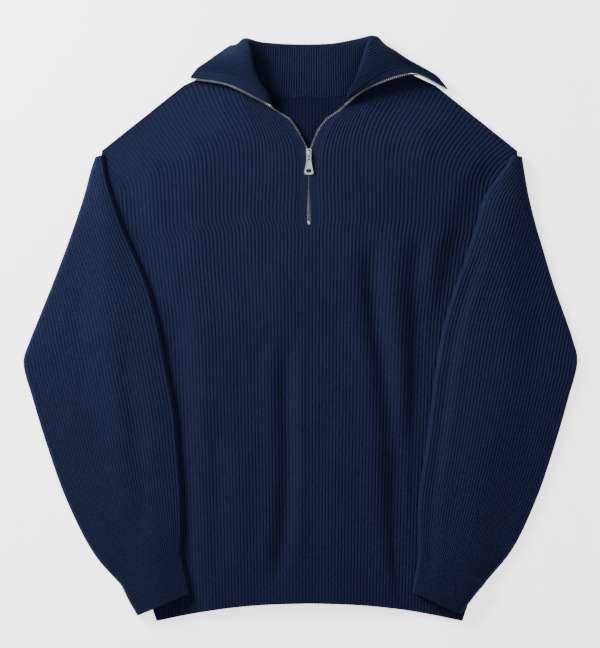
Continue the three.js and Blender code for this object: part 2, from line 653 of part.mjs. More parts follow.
// A cross-section of one zip half at a point of the cloth's edge.
function zipSection({ edge, intoCloth, inwards, hidden = false, slim = false, edgeGap = 0, tape = TAPE_WIDTH }) {
  const inner = hidden ? edgeGap - CHAIN_SPACE : BEAD_SPACE + BEAD_WIDTH;
  const outer = hidden ? edgeGap - CHAIN_SPACE - BEAD_WIDTH : BEAD_SPACE;
  const front = hidden ? TAPE_FROM : BEAD_FRONT;
  const back = hidden ? TAPE_TO + 1.4 : BEAD_BACK;
  const outline = slim ? SLIM_SECTION : [
    [tape, TAPE_FROM],
    [-outer, TAPE_FROM],
    [-outer - BEAD_SLOPE, front],
    [-inner, front],
    [-inner, back],
    [-outer - BEAD_SLOPE, back],
    [-outer, TAPE_TO],
    [tape, TAPE_TO],
  ];
  return outline.map(([into, towards]) => edge.clone()
    .addScaledVector(intoCloth, into)
    .addScaledVector(inwards, towards));
}

// A closed run of one zip half. On the collar, which is folded outwards, the cloth lies on the other
// side of the teeth, so the faces are turned.
function zipRun(sign, stations, turned) {
  const rings = stations.map(zipSection);
  const shell = new Shell(sign);
  const face = (a, b, c) => (turned ? shell.triangle(a, c, b) : shell.triangle(a, b, c));
  for (let i = 0; i + 1 < rings.length; i += 1) {
    for (let j = 0; j < rings[i].length; j += 1) {
      const next = (j + 1) % rings[i].length;
      face(rings[i][j], rings[i + 1][j], rings[i + 1][next]);
      face(rings[i][j], rings[i + 1][next], rings[i][next]);
    }
  }
  const first = rings[0];
  const last = rings[rings.length - 1];
  for (const [a, b, c] of [[0, 1, 6], [0, 6, 7], [2, 3, 4], [2, 4, 5], [1, 2, 5], [1, 5, 6]]) {
    face(first[a], first[b], first[c]);
    face(last[a], last[c], last[b]);
  }
  const vertProperties = new Float32Array(shell.points.flat());
  const triVerts = new Uint32Array(shell.triangles.flat());
  return new wasm.Manifold(new wasm.Mesh({ numProp: 3, vertProperties, triVerts }));
}

function zipHalf(half) {
  const sign = half === 'left' ? -1 : 1;
  const edgeSign = half === 'left' ? 1 : -1;
  const start = half === 'left' ? 0 : COLLAR_SPANS;
  const slitFoot = FRONT_ROWS.findIndex((row) => row.left > 0);
  const stations = [];
  const frontEdge = (y) => {
    const i = Math.max(slitFoot, FRONT_ROWS.findIndex((row) => row.innerY >= y));
    const a = frontPoint(half, i - 1, 0);
    const b = frontPoint(half, i, 0);
    const from = i === slitFoot ? b : a;
    const t = i === slitFoot ? 0 : clamp((y - from.y) / (b.y - from.y), 0, 1);
    const edge = from.clone().lerp(b, t);
    edge.y = y;
    edge.z += WALL / 2;
    return edge;
  };
  const flat = new THREE.Vector3(1, 0, 0);
  const down = new THREE.Vector3(0, 0, -1);
  for (const y of [ZIP_FOOT_Y, 160, 190, 220]) {
    const edge = frontEdge(y);
    const edgeGap = edge.x - ZIP_CENTRE_X * sign;
    stations.push({ edge, intoCloth: flat, inwards: down, hidden: true, edgeGap });
  }
  const slant = new THREE.Vector3(0.85, -0.52, 0).normalize();
  for (const y of [228, 240, 253, 266]) {
    const upperEnd = y > 240;
    const edge = frontEdge(y);
    if (upperEnd) edge.z -= TURN_DROP;
    stations.push({ edge, intoCloth: slant, inwards: down, tape: upperEnd ? NARROW_TAPE : TAPE_WIDTH });
  }
  const corner = neckEdge(half, 0);
  stations.push({
    edge: new THREE.Vector3(corner.x - CORNER_CLEAR, corner.y, FRONT_REST + NECK_LIFT + WALL / 2 - TURN_DROP),
    intoCloth: new THREE.Vector3(0.97, 0.2, 0).normalize(),
    inwards: down,
    tape: TURN_TAPE,
  });
  let otherSide;      // settled once, so that the tape stays on one side of the cloth
  for (const up of [COLLAR_HEIGHTS[1] * 0.45, ...COLLAR_HEIGHTS.slice(1)]) {
    const low = up < COLLAR_HEIGHTS[1];
    const edge = low
      ? collarPoint(start, 0).lerp(collarPoint(start, COLLAR_HEIGHTS[1]), up / COLLAR_HEIGHTS[1])
      : collarPoint(start, up);
    const along = collarPoint(start, Math.min(up + 0.01, 1)).sub(collarPoint(start, up - 0.01)).normalize();
    const intoCloth = collarPoint(start + edgeSign / COLLAR_INNER_STEPS, up).sub(edge);
    intoCloth.addScaledVector(along, -intoCloth.dot(along)).normalize();
    const inwards = along.clone().cross(intoCloth).normalize();
    otherSide ??= inwards.z > 0;
    if (otherSide) inwards.negate();
    const tucked = up < 0.5 || (half === 'right' && up > CURL_FROM);
    if (tucked && half === 'right') edge.addScaledVector(intoCloth, -TUCK_CLEAR);
    edge.x *= sign;
    intoCloth.x *= sign;
    inwards.x *= sign;
    stations.push({ edge, intoCloth, inwards, tape: tucked ? TURN_TAPE : NARROW_TAPE });
  }
  const foldedFrom = stations.length - COLLAR_HEIGHTS.length;
  const atCorner = stations[foldedFrom - 1];
  const turned = stations[foldedFrom];
  const joints = CORNER_LAPS.map((lap) => ({
    ...turned,
    slim: true,
    edge: atCorner.edge.clone().lerp(turned.edge, lap),
  }));
  const back = atCorner.edge.clone().sub(stations[foldedFrom - 2].edge).normalize();
  const heart = atCorner.edge.clone()
    .addScaledVector(atCorner.intoCloth, -BEAD_SPACE - BEAD_WIDTH / 2)
    .addScaledVector(atCorner.inwards, (BEAD_FRONT + BEAD_BACK) / 2)
    .addScaledVector(back, -SLIM_ROOT)
    .addScaledVector(turned.intoCloth, -SLIM_CENTRE.into)
    .addScaledVector(turned.inwards, -SLIM_CENTRE.towards);
  joints.unshift({ ...turned, slim: true, edge: heart });
  const onFront = zipRun(sign, stations.slice(0, foldedFrom), false);
  const onCollar = zipRun(sign, [...joints, ...stations.slice(foldedFrom)], true);
  return solidMesh(`zip_${half}`, onFront.add(onCollar), metal());
}

// The slider runs on the two rows of teeth. Its upper plate lies over the cloth's edges, a post
// parts the rows, and a bail on top carries the pull tab.
const SLIDER_FOOT_Y = 215;
const SLIDER_LENGTH = 13.4;
const SLIDER_FOOT_WIDTH = 6;
const SLIDER_HEAD_WIDTH = 7.4;
const SLIDER_LOW = 6.4;      // underside of the lower plate
const LOWER_PLATE = 1.2;
const SLIDER_TOP = 13.9;     // underside of the upper plate
const UPPER_PLATE = 1.6;
const POST = { halfWidth: 0.45, length: 2 };
const BAIL = { footY: 217, length: 9.6, width: 2.2, leg: 1.4, clear: 2.6, bar: 1.0 };

const PULL_AXIS_Y = 220.6;
const PULL_AXIS_Z = SLIDER_TOP + UPPER_PLATE + 1.5;
const PULL_LENGTH = 25.4;
const PULL_THICK = 1.4;
const PULL_TOP_WIDTH = 6.2;
const PULL_END_WIDTH = 12.2;
const PULL_SLOT = { halfWidth: 1.6, length: 7.2 };
const PULL_HOLE = { centre: 20.6, halfWidth: 3.4, halfLength: 2.3 };
const PULL_PIN_RADIUS = 0.7;
const PULL_TILT = 4.6;       // degrees, so that the free end lies on the cloth

function toSolid(geometry) {
  const bare = geometry.clone();
  bare.deleteAttribute('normal');
  bare.deleteAttribute('uv');
  const merged = mergeVertices(bare, 1e-4);
  const vertProperties = new Float32Array(merged.attributes.position.array);
  const triVerts = new Uint32Array(merged.index.array);
  return new wasm.Manifold(new wasm.Mesh({ numProp: 3, vertProperties, triVerts }));
}

function solidMesh(name, solid, material) {
  const { vertProperties, triVerts } = solid.getMesh();
  const geometry = new THREE.BufferGeometry();
  geometry.setAttribute('position', new THREE.BufferAttribute(new Float32Array(vertProperties), 3));
  geometry.setIndex(new THREE.BufferAttribute(new Uint32Array(triVerts), 1));
  geometry.computeVertexNormals();
  const mesh = new THREE.Mesh(geometry, material);
  mesh.name = name;
  return mesh;
}

const block = (width, length, height, x, y, z) => toSolid(
  new THREE.BoxGeometry(width, length, height).translate(x, y + length / 2, z + height / 2),
);

function plate(depth, z) {
  const outline = new THREE.Shape();
  const foot = SLIDER_FOOT_WIDTH / 2;
  const head = SLIDER_HEAD_WIDTH / 2;
  outline.moveTo(-foot + 1, 0);
  outline.lineTo(foot - 1, 0);
  outline.lineTo(foot, 1);
  outline.lineTo(head, SLIDER_LENGTH - 3);
  outline.lineTo(head - 1.6, SLIDER_LENGTH);
  outline.lineTo(-head + 1.6, SLIDER_LENGTH);
  outline.lineTo(-head, SLIDER_LENGTH - 3);
  outline.lineTo(-foot, 1);
  outline.closePath();
  const geometry = new THREE.ExtrudeGeometry(outline, { depth, bevelEnabled: false });
  return toSolid(geometry.translate(ZIP_CENTRE_X, SLIDER_FOOT_Y, z));
}

function slider() {
  const postY = SLIDER_FOOT_Y + SLIDER_LENGTH - POST.length - 0.4;
  const postHeight = SLIDER_TOP - SLIDER_LOW + 0.4;
  const top = SLIDER_TOP + UPPER_PLATE;
  const legHeight = BAIL.clear + BAIL.bar;
  const { footY, length, width, leg } = BAIL;
  const body = plate(UPPER_PLATE, SLIDER_TOP)
    .add(plate(LOWER_PLATE, SLIDER_LOW))
    .add(block(2 * POST.halfWidth, POST.length, postHeight, ZIP_CENTRE_X, postY, SLIDER_LOW + 0.2))
    .add(block(width, leg, legHeight + 0.2, ZIP_CENTRE_X, footY, top - 0.2))
    .add(block(width, leg, legHeight + 0.2, ZIP_CENTRE_X, footY + length - leg, top - 0.2))
    .add(block(width, length, BAIL.bar, ZIP_CENTRE_X, footY, top + BAIL.clear));
  return solidMesh('zip_slider', body, metal());
}

function pullTab() {
  const outline = new THREE.Shape();
  const top = PULL_TOP_WIDTH / 2;
  const end = PULL_END_WIDTH / 2;
  outline.moveTo(-top, 0.9);
  outline.lineTo(-top, -PULL_LENGTH * 0.3);
  outline.lineTo(-end, -PULL_LENGTH + 2);
  outline.lineTo(-end + 1.5, -PULL_LENGTH);
  outline.lineTo(end - 1.5, -PULL_LENGTH);
  outline.lineTo(end, -PULL_LENGTH + 2);
  outline.lineTo(top, -PULL_LENGTH * 0.3);
  outline.lineTo(top, 0.9);
  outline.closePath();
  const slot = new THREE.Path();
  slot.moveTo(-PULL_SLOT.halfWidth, -PULL_PIN_RADIUS);
  slot.lineTo(PULL_SLOT.halfWidth, -PULL_PIN_RADIUS);
  slot.lineTo(PULL_SLOT.halfWidth, -PULL_SLOT.length);
  slot.lineTo(-PULL_SLOT.halfWidth, -PULL_SLOT.length);
  slot.closePath();
  const hole = new THREE.Path();
  hole.absellipse(0, -PULL_HOLE.centre, PULL_HOLE.halfWidth, PULL_HOLE.halfLength, 0, 2 * Math.PI, true, 0);
  outline.holes.push(slot, hole);
  const options = { depth: PULL_THICK, bevelEnabled: false, curveSegments: 8 };
  const geometry = new THREE.ExtrudeGeometry(outline, options).translate(0, 0, -PULL_THICK / 2);
  const mesh = solidMesh('zip_pull', toSolid(geometry), metal());
  mesh.position.set(ZIP_CENTRE_X, PULL_AXIS_Y, PULL_AXIS_Z);
  mesh.rotation.x = THREE.MathUtils.degToRad(PULL_TILT);
  return mesh;
}

const sweater = new THREE.Group();
sweater.position.set(CENTRE_SHIFT, MIDDLE_SHIFT_Y, 0);
sweater.add(backPanel());
sweater.add(frontPanel());
sweater.add(tube('sleeve_left', 'left', SLEEVE_LEFT, ARMHOLE_ROWS));
sweater.add(tube('sleeve_right', 'right', SLEEVE_RIGHT, ARMHOLE_ROWS));
sweater.add(tube('cuff_left', 'left', CUFF_LEFT, 0));
sweater.add(tube('cuff_right', 'right', CUFF_RIGHT, 0));
sweater.add(collar());
sweater.add(zipHalf('left'));
sweater.add(zipHalf('right'));
sweater.add(slider());
sweater.add(pullTab());

export default sweater;
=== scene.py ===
"""Quarter zip sweater laid flat: rib-knit panels, sleeves, collar and a metal zip.

The sweater lies on its back and is seen straight down. Sizes are in millimetres about the garment's
centre line, as in the CAD source, and are turned into metres in the part's frame when a mesh is made.
"""
import logging
import math
from dataclasses import dataclass, field
from enum import Enum
from typing import Callable, Iterable, Optional, Sequence

import bpy
import numpy as np
from mathutils import Matrix, Vector


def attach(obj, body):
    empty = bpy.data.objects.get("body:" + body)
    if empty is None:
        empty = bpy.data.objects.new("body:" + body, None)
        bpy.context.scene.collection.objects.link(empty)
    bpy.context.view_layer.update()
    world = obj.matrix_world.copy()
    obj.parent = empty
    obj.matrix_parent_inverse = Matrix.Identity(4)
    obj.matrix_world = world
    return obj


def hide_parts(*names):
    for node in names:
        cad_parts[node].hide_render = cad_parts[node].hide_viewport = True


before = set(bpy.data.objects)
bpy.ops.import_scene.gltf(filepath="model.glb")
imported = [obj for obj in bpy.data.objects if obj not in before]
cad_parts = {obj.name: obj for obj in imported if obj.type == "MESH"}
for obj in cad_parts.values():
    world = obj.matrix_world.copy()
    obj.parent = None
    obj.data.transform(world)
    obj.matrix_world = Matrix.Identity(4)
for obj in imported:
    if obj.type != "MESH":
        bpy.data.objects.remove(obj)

LOG = logging.getLogger("sweater")
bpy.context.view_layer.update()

MM = 0.001
SHIFT = np.array([11.5, 0.25, 0.0])
WALL = 2.6
SEAM_GAP = 0.3
FRONT_REST = WALL + SEAM_GAP
RIB_SAMPLES = 6


class Side(Enum):
    """A half of the garment, as seen in the picture."""

    LEFT = -1
    RIGHT = 1

    @property
    def word(self) -> str:
        """The word that the names of the pieces end with."""
        return self.name.lower()


def smooth(low: float, high: float, value: np.ndarray) -> np.ndarray:
    """Runs from 0 at low to 1 at high with soft ends."""
    t = np.clip((np.asarray(value, dtype=float) - low) / (high - low), 0.0, 1.0)
    return t * t * (3.0 - 2.0 * t)


def curve(points: np.ndarray, at: np.ndarray) -> np.ndarray:
    """Draws smooth lines through rows of points, without overshoot at uneven spacing.

    Args:
        points: array of n rows, m lines and d coordinates.
        at: places along the lines, from 0 to n - 1.

    Returns:
        Array of len(at) rows, m lines and d coordinates.
    """
    count = len(points)
    index = np.clip(np.floor(at).astype(int), 0, count - 2)
    t = (at - index)[:, None, None]
    ends = np.concatenate([[2 * points[0] - points[1]], points, [2 * points[-1] - points[-2]]])
    p0, p1, p2, p3 = (ends[index + k] for k in range(4))

    def step(a: np.ndarray, b: np.ndarray) -> np.ndarray:
        """Root of the distance between two rows of points."""
        return np.maximum(np.linalg.norm(b - a, axis=-1, keepdims=True), 1e-4) ** 0.5

    d0, d1, d2 = step(p0, p1), step(p1, p2), step(p2, p3)
    leave = ((p1 - p0) / d0 - (p2 - p0) / (d0 + d1) + (p2 - p1) / d1) * d1
    reach = ((p2 - p1) / d1 - (p3 - p1) / (d1 + d2) + (p3 - p2) / d2) * d1
    square = -3 * p1 + 3 * p2 - 2 * leave - reach
    cube = 2 * p1 - 2 * p2 + leave + reach
    return p1 + leave * t + square * t**2 + cube * t**3


def rib_profile(number: np.ndarray) -> np.ndarray:
    """Height of a rib, 0 in the valleys at whole numbers and 1 on the crest."""
    return np.abs(np.sin(np.pi * number)) ** 0.75


def edge_round(distance: np.ndarray, radius: float = 1.5, drop: float = 1.1) -> np.ndarray:
    """How far a face drops beside a cloth's edge, so that the edge is round.

    Args:
        distance: distance from the edge.
        radius: width of the rounded strip.
        drop: how far the face has dropped at the edge itself.

    Returns:
        The drop at each distance.
    """
    t = np.clip(1.0 - distance / radius, 0.0, 1.0)
    return drop * (1.0 - np.sqrt(np.clip(1.0 - t * t, 0.0, 1.0)))


def ripple(x: np.ndarray, y: np.ndarray, seed: int) -> np.ndarray:
    """Soft unevenness of cloth that lies loosely, from about -1 to 1."""
    rng = np.random.default_rng(seed)
    total = np.zeros(np.broadcast(x, y).shape)
    for wave_x, wave_y, share in ((95, 420, 0.4), (58, 260, 0.3), (140, 150, 0.3)):
        phase_a, phase_b = rng.uniform(0, 2 * math.pi, 2)
        bend = 0.8 * np.sin(2 * math.pi * y / wave_y + phase_b)
        total = total + share * np.sin(2 * math.pi * x / wave_x + phase_a + bend)
    return total


class Cloth:
    """Collects the faces of one piece of cloth and makes the object.

    Each point has a place on the knit, which is the rib's number and the length along the rib in
    centimetres, and plain, which is 1 where the ribs aren't in the shape.
    """

    def __init__(self, side: Side = Side.RIGHT) -> None:
        """Starts an empty piece for one half. Points of the left half are given as mirror images."""
        self.side = side
        self.points: list[np.ndarray] = []
        self.knit: list[np.ndarray] = []
        self.plain: list[np.ndarray] = []
        self.faces: list[np.ndarray] = []
        self.count = 0

    def grid(self, points: np.ndarray, knit: np.ndarray, plain: float) -> np.ndarray:
        """Adds a grid of points.

        Args:
            points: rows, columns and x, y, z.
            knit: rows, columns and place on the knit.
            plain: 0 or 1 for all of them.

        Returns:
            The points' numbers, as rows and columns.
        """
        rows, columns = points.shape[:2]
        placed = points.reshape(-1, 3) * np.array([self.side.value, 1.0, 1.0])
        self.points.append(placed)
        self.knit.append(knit.reshape(-1, 2))
        self.plain.append(np.full(rows * columns, plain))
        numbers = self.count + np.arange(rows * columns).reshape(rows, columns)
        self.count += rows * columns
        return numbers

    def add_faces(self, faces: np.ndarray) -> None:
        """Adds faces of three or four corners, turned over on the left half."""
        faces = np.asarray(faces, dtype=int)
        if faces.shape[1] == 3:
            faces = np.concatenate([faces, faces[:, 2:]], axis=1)
        self.faces.append(faces if self.side is Side.RIGHT else faces[:, ::-1])

    def skin(self, numbers: np.ndarray, turned: bool = False) -> None:
        """Covers a grid with faces."""
        a, b = numbers[:-1, :-1], numbers[:-1, 1:]
        c, d = numbers[1:, 1:], numbers[1:, :-1]
        order = (a, d, c, b) if turned else (a, b, c, d)
        self.add_faces(np.stack([corner.ravel() for corner in order], axis=1))

    def stitch(self, upper: Sequence[int], lower: Sequence[int], at: Sequence[Sequence[float]]) -> None:
        """Closes the edge between two lines that may have different numbers of points."""
        upper_at, lower_at = at
        i = j = 0
        triangles = []
        while i + 1 < len(upper) or j + 1 < len(lower):
            next_upper = upper_at[i + 1] if i + 1 < len(upper) else math.inf
            next_lower = lower_at[j + 1] if j + 1 < len(lower) else math.inf
            if next_lower <= next_upper:
                triangles.append((upper[i], lower[j], lower[j + 1]))
                j += 1
            else:
                triangles.append((upper[i], lower[j], upper[i + 1]))
                i += 1
        self.add_faces(np.array(triangles))

    def wall(
        self,
        upper: np.ndarray,
        lower: np.ndarray,
        at: Sequence[np.ndarray],
        start_open: Callable[[int], bool] = lambda row: True,
        end_open: Callable[[int], bool] = lambda row: True,
    ) -> None:
        """Makes a wall between two grids.

        Args:
            upper: numbers of the outer grid's points.
            lower: numbers of the inner grid's points, with as many rows.
            at: places of the columns of each grid along a row.
            start_open: whether the first column is a free edge above a row.
            end_open: whether the last column is a free edge above a row.
        """
        self.skin(upper)
        self.skin(lower, turned=True)
        last = len(upper) - 1
        self.stitch(upper[0], lower[0], at)
        mirrored = [[-value for value in line[::-1]] for line in at]
        self.stitch(upper[last][::-1], lower[last][::-1], mirrored)
        for row in range(last):
            if end_open(row):
                a, b = upper[row, -1], upper[row + 1, -1]
                c, d = lower[row, -1], lower[row + 1, -1]
                self.add_faces(np.array([(a, c, d, b)]))
            if start_open(row):
                a, b = upper[row + 1, 0], upper[row, 0]
                c, d = lower[row + 1, 0], lower[row, 0]
                self.add_faces(np.array([(a, c, d, b)]))

    def build(self, name: str) -> bpy.types.Object:
        """Welds the points that fall together and makes the object.

        Args:
            name: the object's name.

        Returns:
            The object, at the origin, with its place in its mesh.
        """
        points = np.concatenate(self.points)
        knit = np.concatenate(self.knit)
        plain = np.concatenate(self.plain)
        _, first, place = np.unique(np.round(points, 3), axis=0, return_index=True, return_inverse=True)
        place = place.ravel()
        faces = place[np.concatenate(self.faces)]
        follower = np.roll(faces, -1, axis=1)
        simple = (faces == follower).any(axis=1) | (faces[:, 0] == faces[:, 2]) | (faces[:, 1] == faces[:, 3])
        polygons = faces[~simple].tolist()
        for corners in faces[simple].tolist():
            kept = list(dict.fromkeys(corners))
            if len(kept) == 3:
                polygons.append(kept)
        mesh = bpy.data.meshes.new(name)
        mesh.from_pydata(((points[first] + SHIFT) * MM).tolist(), [], polygons)
        mesh.validate()
        corner_points = np.zeros(len(mesh.loops), dtype=np.int32)
        mesh.loops.foreach_get("vertex_index", corner_points)
        layer = mesh.uv_layers.new(name="Knit")
        layer.data.foreach_set("uv", knit[first][corner_points].astype(np.float32).ravel())
        bare = mesh.attributes.new("plain", "FLOAT", "POINT")
        bare.data.foreach_set("value", plain[first].astype(np.float32))
        mesh.shade_smooth()
        mesh.set_sharp_from_angle(angle=math.radians(62))
        made = bpy.data.objects.new(name, mesh)
        bpy.context.scene.collection.objects.link(made)
        return made


@dataclass(frozen=True)
class KnitFinish:
    """A rib knit of one dye, with painted shade in its rib valleys."""

    name: str
    dye: tuple[float, float, float]
    # how strongly painted shade darkens the rib valleys and lightens the crests
    valley: float = 0.3
    sheen: float = 0.012
    roughness: float = 0.92

    def material(self) -> bpy.types.Material:
        """Makes the material, with its bump and sheen."""
        made = bpy.data.materials.new(self.name)
        made.use_nodes = True
        nodes, links = made.node_tree.nodes, made.node_tree.links
        shader = nodes["Principled BSDF"]
        shader.inputs["Sheen Weight"].default_value = self.sheen
        shader.inputs["Sheen Roughness"].default_value = 0.45
        shader.inputs["Sheen Tint"].default_value = (0.55, 0.65, 0.85, 1.0)
        shader.inputs["Specular IOR Level"].default_value = 0.05
        group = nodes.new("ShaderNodeGroup")
        group.node_tree = knit_group()
        group.inputs["Dye"].default_value = (*self.dye, 1.0)
        group.inputs["Valley"].default_value = self.valley
        group.inputs["Roughness"].default_value = self.roughness
        bump = nodes.new("ShaderNodeBump")
        bump.inputs["Strength"].default_value = 0.55
        bump.inputs["Distance"].default_value = 0.0009
        links.new(group.outputs["Color"], shader.inputs["Base Color"])
        links.new(group.outputs["Roughness"], shader.inputs["Roughness"])
        links.new(group.outputs["Height"], bump.inputs["Height"])
        links.new(bump.outputs["Normal"], shader.inputs["Normal"])
        return made


@dataclass(frozen=True)
class MetalFinish:
    """A cast and tumbled zip metal."""

    name: str
    color: tuple[float, float, float]
    roughness: float

    def material(self) -> bpy.types.Material:
        """Makes the material, with worn patches and a fine grain."""
        made = bpy.data.materials.new(self.name)
        made.use_nodes = True
        nodes, links = made.node_tree.nodes, made.node_tree.links
        shader = nodes["Principled BSDF"]
        shader.inputs["Metallic"].default_value = 0.85
        group = nodes.new("ShaderNodeGroup")
        group.node_tree = metal_group()
        group.inputs["Color"].default_value = (*self.color, 1.0)
        group.inputs["Roughness"].default_value = self.roughness
        bump = nodes.new("ShaderNodeBump")
        bump.inputs["Strength"].default_value = 0.15
        bump.inputs["Distance"].default_value = 0.0002
        links.new(group.outputs["Color"], shader.inputs["Base Color"])
        links.new(group.outputs["Roughness"], shader.inputs["Roughness"])
        links.new(group.outputs["Height"], bump.inputs["Height"])
        links.new(bump.outputs["Normal"], shader.inputs["Normal"])
        return made


class NodeSheet:
    """Adds nodes to a shader group with one short call each."""

    def __init__(self, name: str) -> None:
        """Starts an empty group."""
        self.tree = bpy.data.node_groups.new(name, "ShaderNodeTree")
        self.inputs = self.tree.nodes.new("NodeGroupInput")
        self.outputs = self.tree.nodes.new("NodeGroupOutput")

    def socket(self, name: str, kind: str, way: str) -> None:
        """Adds a named input or output."""
        self.tree.interface.new_socket(name=name, in_out=way, socket_type=kind)

    def feed(self, source: object, target: bpy.types.NodeSocket) -> None:
        """Links a socket to a target, or sets the target's value."""
        if isinstance(source, bpy.types.NodeSocket):
            self.tree.links.new(source, target)
        else:
            target.default_value = source

    def math(self, operation: str, *values: object) -> bpy.types.NodeSocket:
        """Adds a Math node and returns its output."""
        node = self.tree.nodes.new("ShaderNodeMath")
        node.operation = operation
        for index, value in enumerate(values):
            self.feed(value, node.inputs[index])
        return node.outputs[0]

    def noise(self, place: bpy.types.NodeSocket, scale: float, detail: float) -> bpy.types.NodeSocket:
        """Adds a Noise Texture and returns its value."""
        node = self.tree.nodes.new("ShaderNodeTexNoise")
        node.inputs["Scale"].default_value = scale
        node.inputs["Detail"].default_value = detail
        self.feed(place, node.inputs["Vector"])
        return node.outputs["Fac"]

    def scaled_color(self, color: object, factor: object) -> bpy.types.NodeSocket:
        """Multiplies a colour by a number."""
        node = self.tree.nodes.new("ShaderNodeVectorMath")
        node.operation = "SCALE"
        self.feed(color, node.inputs[0])
        self.feed(factor, node.inputs["Scale"])
        return node.outputs[0]


def knit_group() -> bpy.types.NodeTree:
    """The rib knit: stitches along each rib, painted shade that darkens the rib valleys, heather and fuzz.

    Returns:
        The group with inputs Dye, Valley shade and Roughness and outputs Color, Roughness and Height.
    """
    known = bpy.data.node_groups.get("Rib knit")
    if known:
        return known
    sheet = NodeSheet("Rib knit")
    sheet.socket("Dye", "NodeSocketColor", "INPUT")
    sheet.socket("Valley", "NodeSocketFloat", "INPUT")
    sheet.socket("Roughness", "NodeSocketFloat", "INPUT")
    sheet.socket("Color", "NodeSocketColor", "OUTPUT")
    sheet.socket("Roughness", "NodeSocketFloat", "OUTPUT")
    sheet.socket("Height", "NodeSocketFloat", "OUTPUT")
    nodes, links = sheet.tree.nodes, sheet.tree.links
    uv = nodes.new("ShaderNodeUVMap")
    uv.uv_map = "Knit"
    parts = nodes.new("ShaderNodeSeparateXYZ")
    links.new(uv.outputs[0], parts.inputs[0])
    plain = nodes.new("ShaderNodeAttribute")
    plain.attribute_name = "plain"
    place = nodes.new("ShaderNodeTexCoord").outputs["Object"]
    crest = sheet.math("MULTIPLY", sheet.math("PINGPONG", parts.outputs[0], 0.5), 2.0)
    body = sheet.math("POWER", crest, 0.6)
    turn = sheet.math("ADD", sheet.math("MULTIPLY", parts.outputs[1], 4.5), sheet.math("MULTIPLY", crest, 0.7))
    loop = sheet.math("SINE", sheet.math("MULTIPLY", turn, 2 * math.pi))
    loop = sheet.math("MULTIPLY_ADD", loop, 0.5, 0.5)
    fuzz = sheet.noise(place, 1500.0, 3.0)
    heather = sheet.noise(place, 420.0, 2.0)
    cloud = sheet.noise(place, 9.0, 2.0)
    # painted shade: the colour is darker in the rib valleys and lighter on the crests
    shade = sheet.math("MULTIPLY_ADD", body, sheet.inputs.outputs["Valley"], 1.0)
    shade = sheet.math("SUBTRACT", shade, sheet.math("MULTIPLY", sheet.inputs.outputs["Valley"], 0.6))
    shade = sheet.math("MULTIPLY", shade, sheet.math("MULTIPLY_ADD", heather, 1.5, 0.25))
    shade = sheet.math("MULTIPLY", shade, sheet.math("MULTIPLY_ADD", cloud, 0.3, 0.85))
    shade = sheet.math("MULTIPLY", shade, sheet.math("MULTIPLY_ADD", loop, 0.14, 0.93))
    links.new(sheet.scaled_color(sheet.inputs.outputs["Dye"], shade), sheet.outputs.inputs["Color"])
    rough = sheet.math("MULTIPLY_ADD", fuzz, 0.1, -0.05)
    rough = sheet.math("ADD", rough, sheet.inputs.outputs["Roughness"])
    links.new(rough, sheet.outputs.inputs["Roughness"])
    height = sheet.math("MULTIPLY", sheet.math("MULTIPLY", loop, crest), 0.35)
    height = sheet.math("ADD", height, sheet.math("MULTIPLY", fuzz, 0.35))
    height = sheet.math("ADD", height, sheet.math("MULTIPLY", body, plain.outputs["Fac"]))
    links.new(height, sheet.outputs.inputs["Height"])
    return sheet.tree


def metal_group() -> bpy.types.NodeTree:
    """Tumbled zip metal: worn brighter patches and a fine grain.

    Returns:
        The group with inputs Color and Roughness and outputs Color, Roughness and Height.
    """
    known = bpy.data.node_groups.get("Tumbled metal")
    if known:
        return known
    sheet = NodeSheet("Tumbled metal")
    for way in ("INPUT", "OUTPUT"):
        sheet.socket("Color", "NodeSocketColor", way)
        sheet.socket("Roughness", "NodeSocketFloat", way)
    sheet.socket("Height", "NodeSocketFloat", "OUTPUT")
    place = sheet.tree.nodes.new("ShaderNodeTexCoord").outputs["Object"]
    wear = sheet.noise(place, 350.0, 4.0)
    grain = sheet.noise(place, 4000.0, 2.0)
    links = sheet.tree.links
    bright = sheet.math("MULTIPLY_ADD", wear, 0.4, 0.8)
    links.new(sheet.scaled_color(sheet.inputs.outputs["Color"], bright), sheet.outputs.inputs["Color"])
    rough = sheet.math("MULTIPLY_ADD", wear, 0.3, -0.15)
    rough = sheet.math("ADD", rough, sheet.inputs.outputs["Roughness"])
    links.new(rough, sheet.outputs.inputs["Roughness"])
    links.new(grain, sheet.outputs.inputs["Height"])
    return sheet.tree


BODY_KNIT = KnitFinish("body_knit", (0.0048, 0.0066, 0.0212), valley=0.22)
# painted shade: the back panel's dye is darker than the front's, standing in for the shade inside the neck opening
SHADED_BACK_KNIT = KnitFinish("shaded_back_knit", (0.0024, 0.0036, 0.0125), valley=0.22, sheen=0.0)
SLEEVE_KNIT = KnitFinish("sleeve_knit", (0.0050, 0.0072, 0.0222), valley=0.22)
COLLAR_KNIT = KnitFinish("collar_knit", (0.0046, 0.0070, 0.0205), valley=0.22)
TAPE_CLOTH = KnitFinish("zip_tape", (0.0060, 0.0100, 0.0240), valley=0.2, sheen=0.01)
THREAD = KnitFinish("thread", (0.0070, 0.0130, 0.0340), valley=0.1, sheen=0.01)
ZIP_METAL = MetalFinish("zip_metal", (0.30, 0.31, 0.33), 0.3)


def dress(made: bpy.types.Object, finish: KnitFinish | MetalFinish, body: str = "sweater") -> None:
    """Gives a piece its material and the body that it moves with."""
    known = bpy.data.materials.get(finish.name + "_finish")
    if known is None:
        known = finish.material()
        known.name = finish.name + "_finish"
    made.data.materials.clear()
    made.data.materials.append(known)
    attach(made, body)
    LOG.info("%s: %d faces", made.name, len(made.data.polygons))


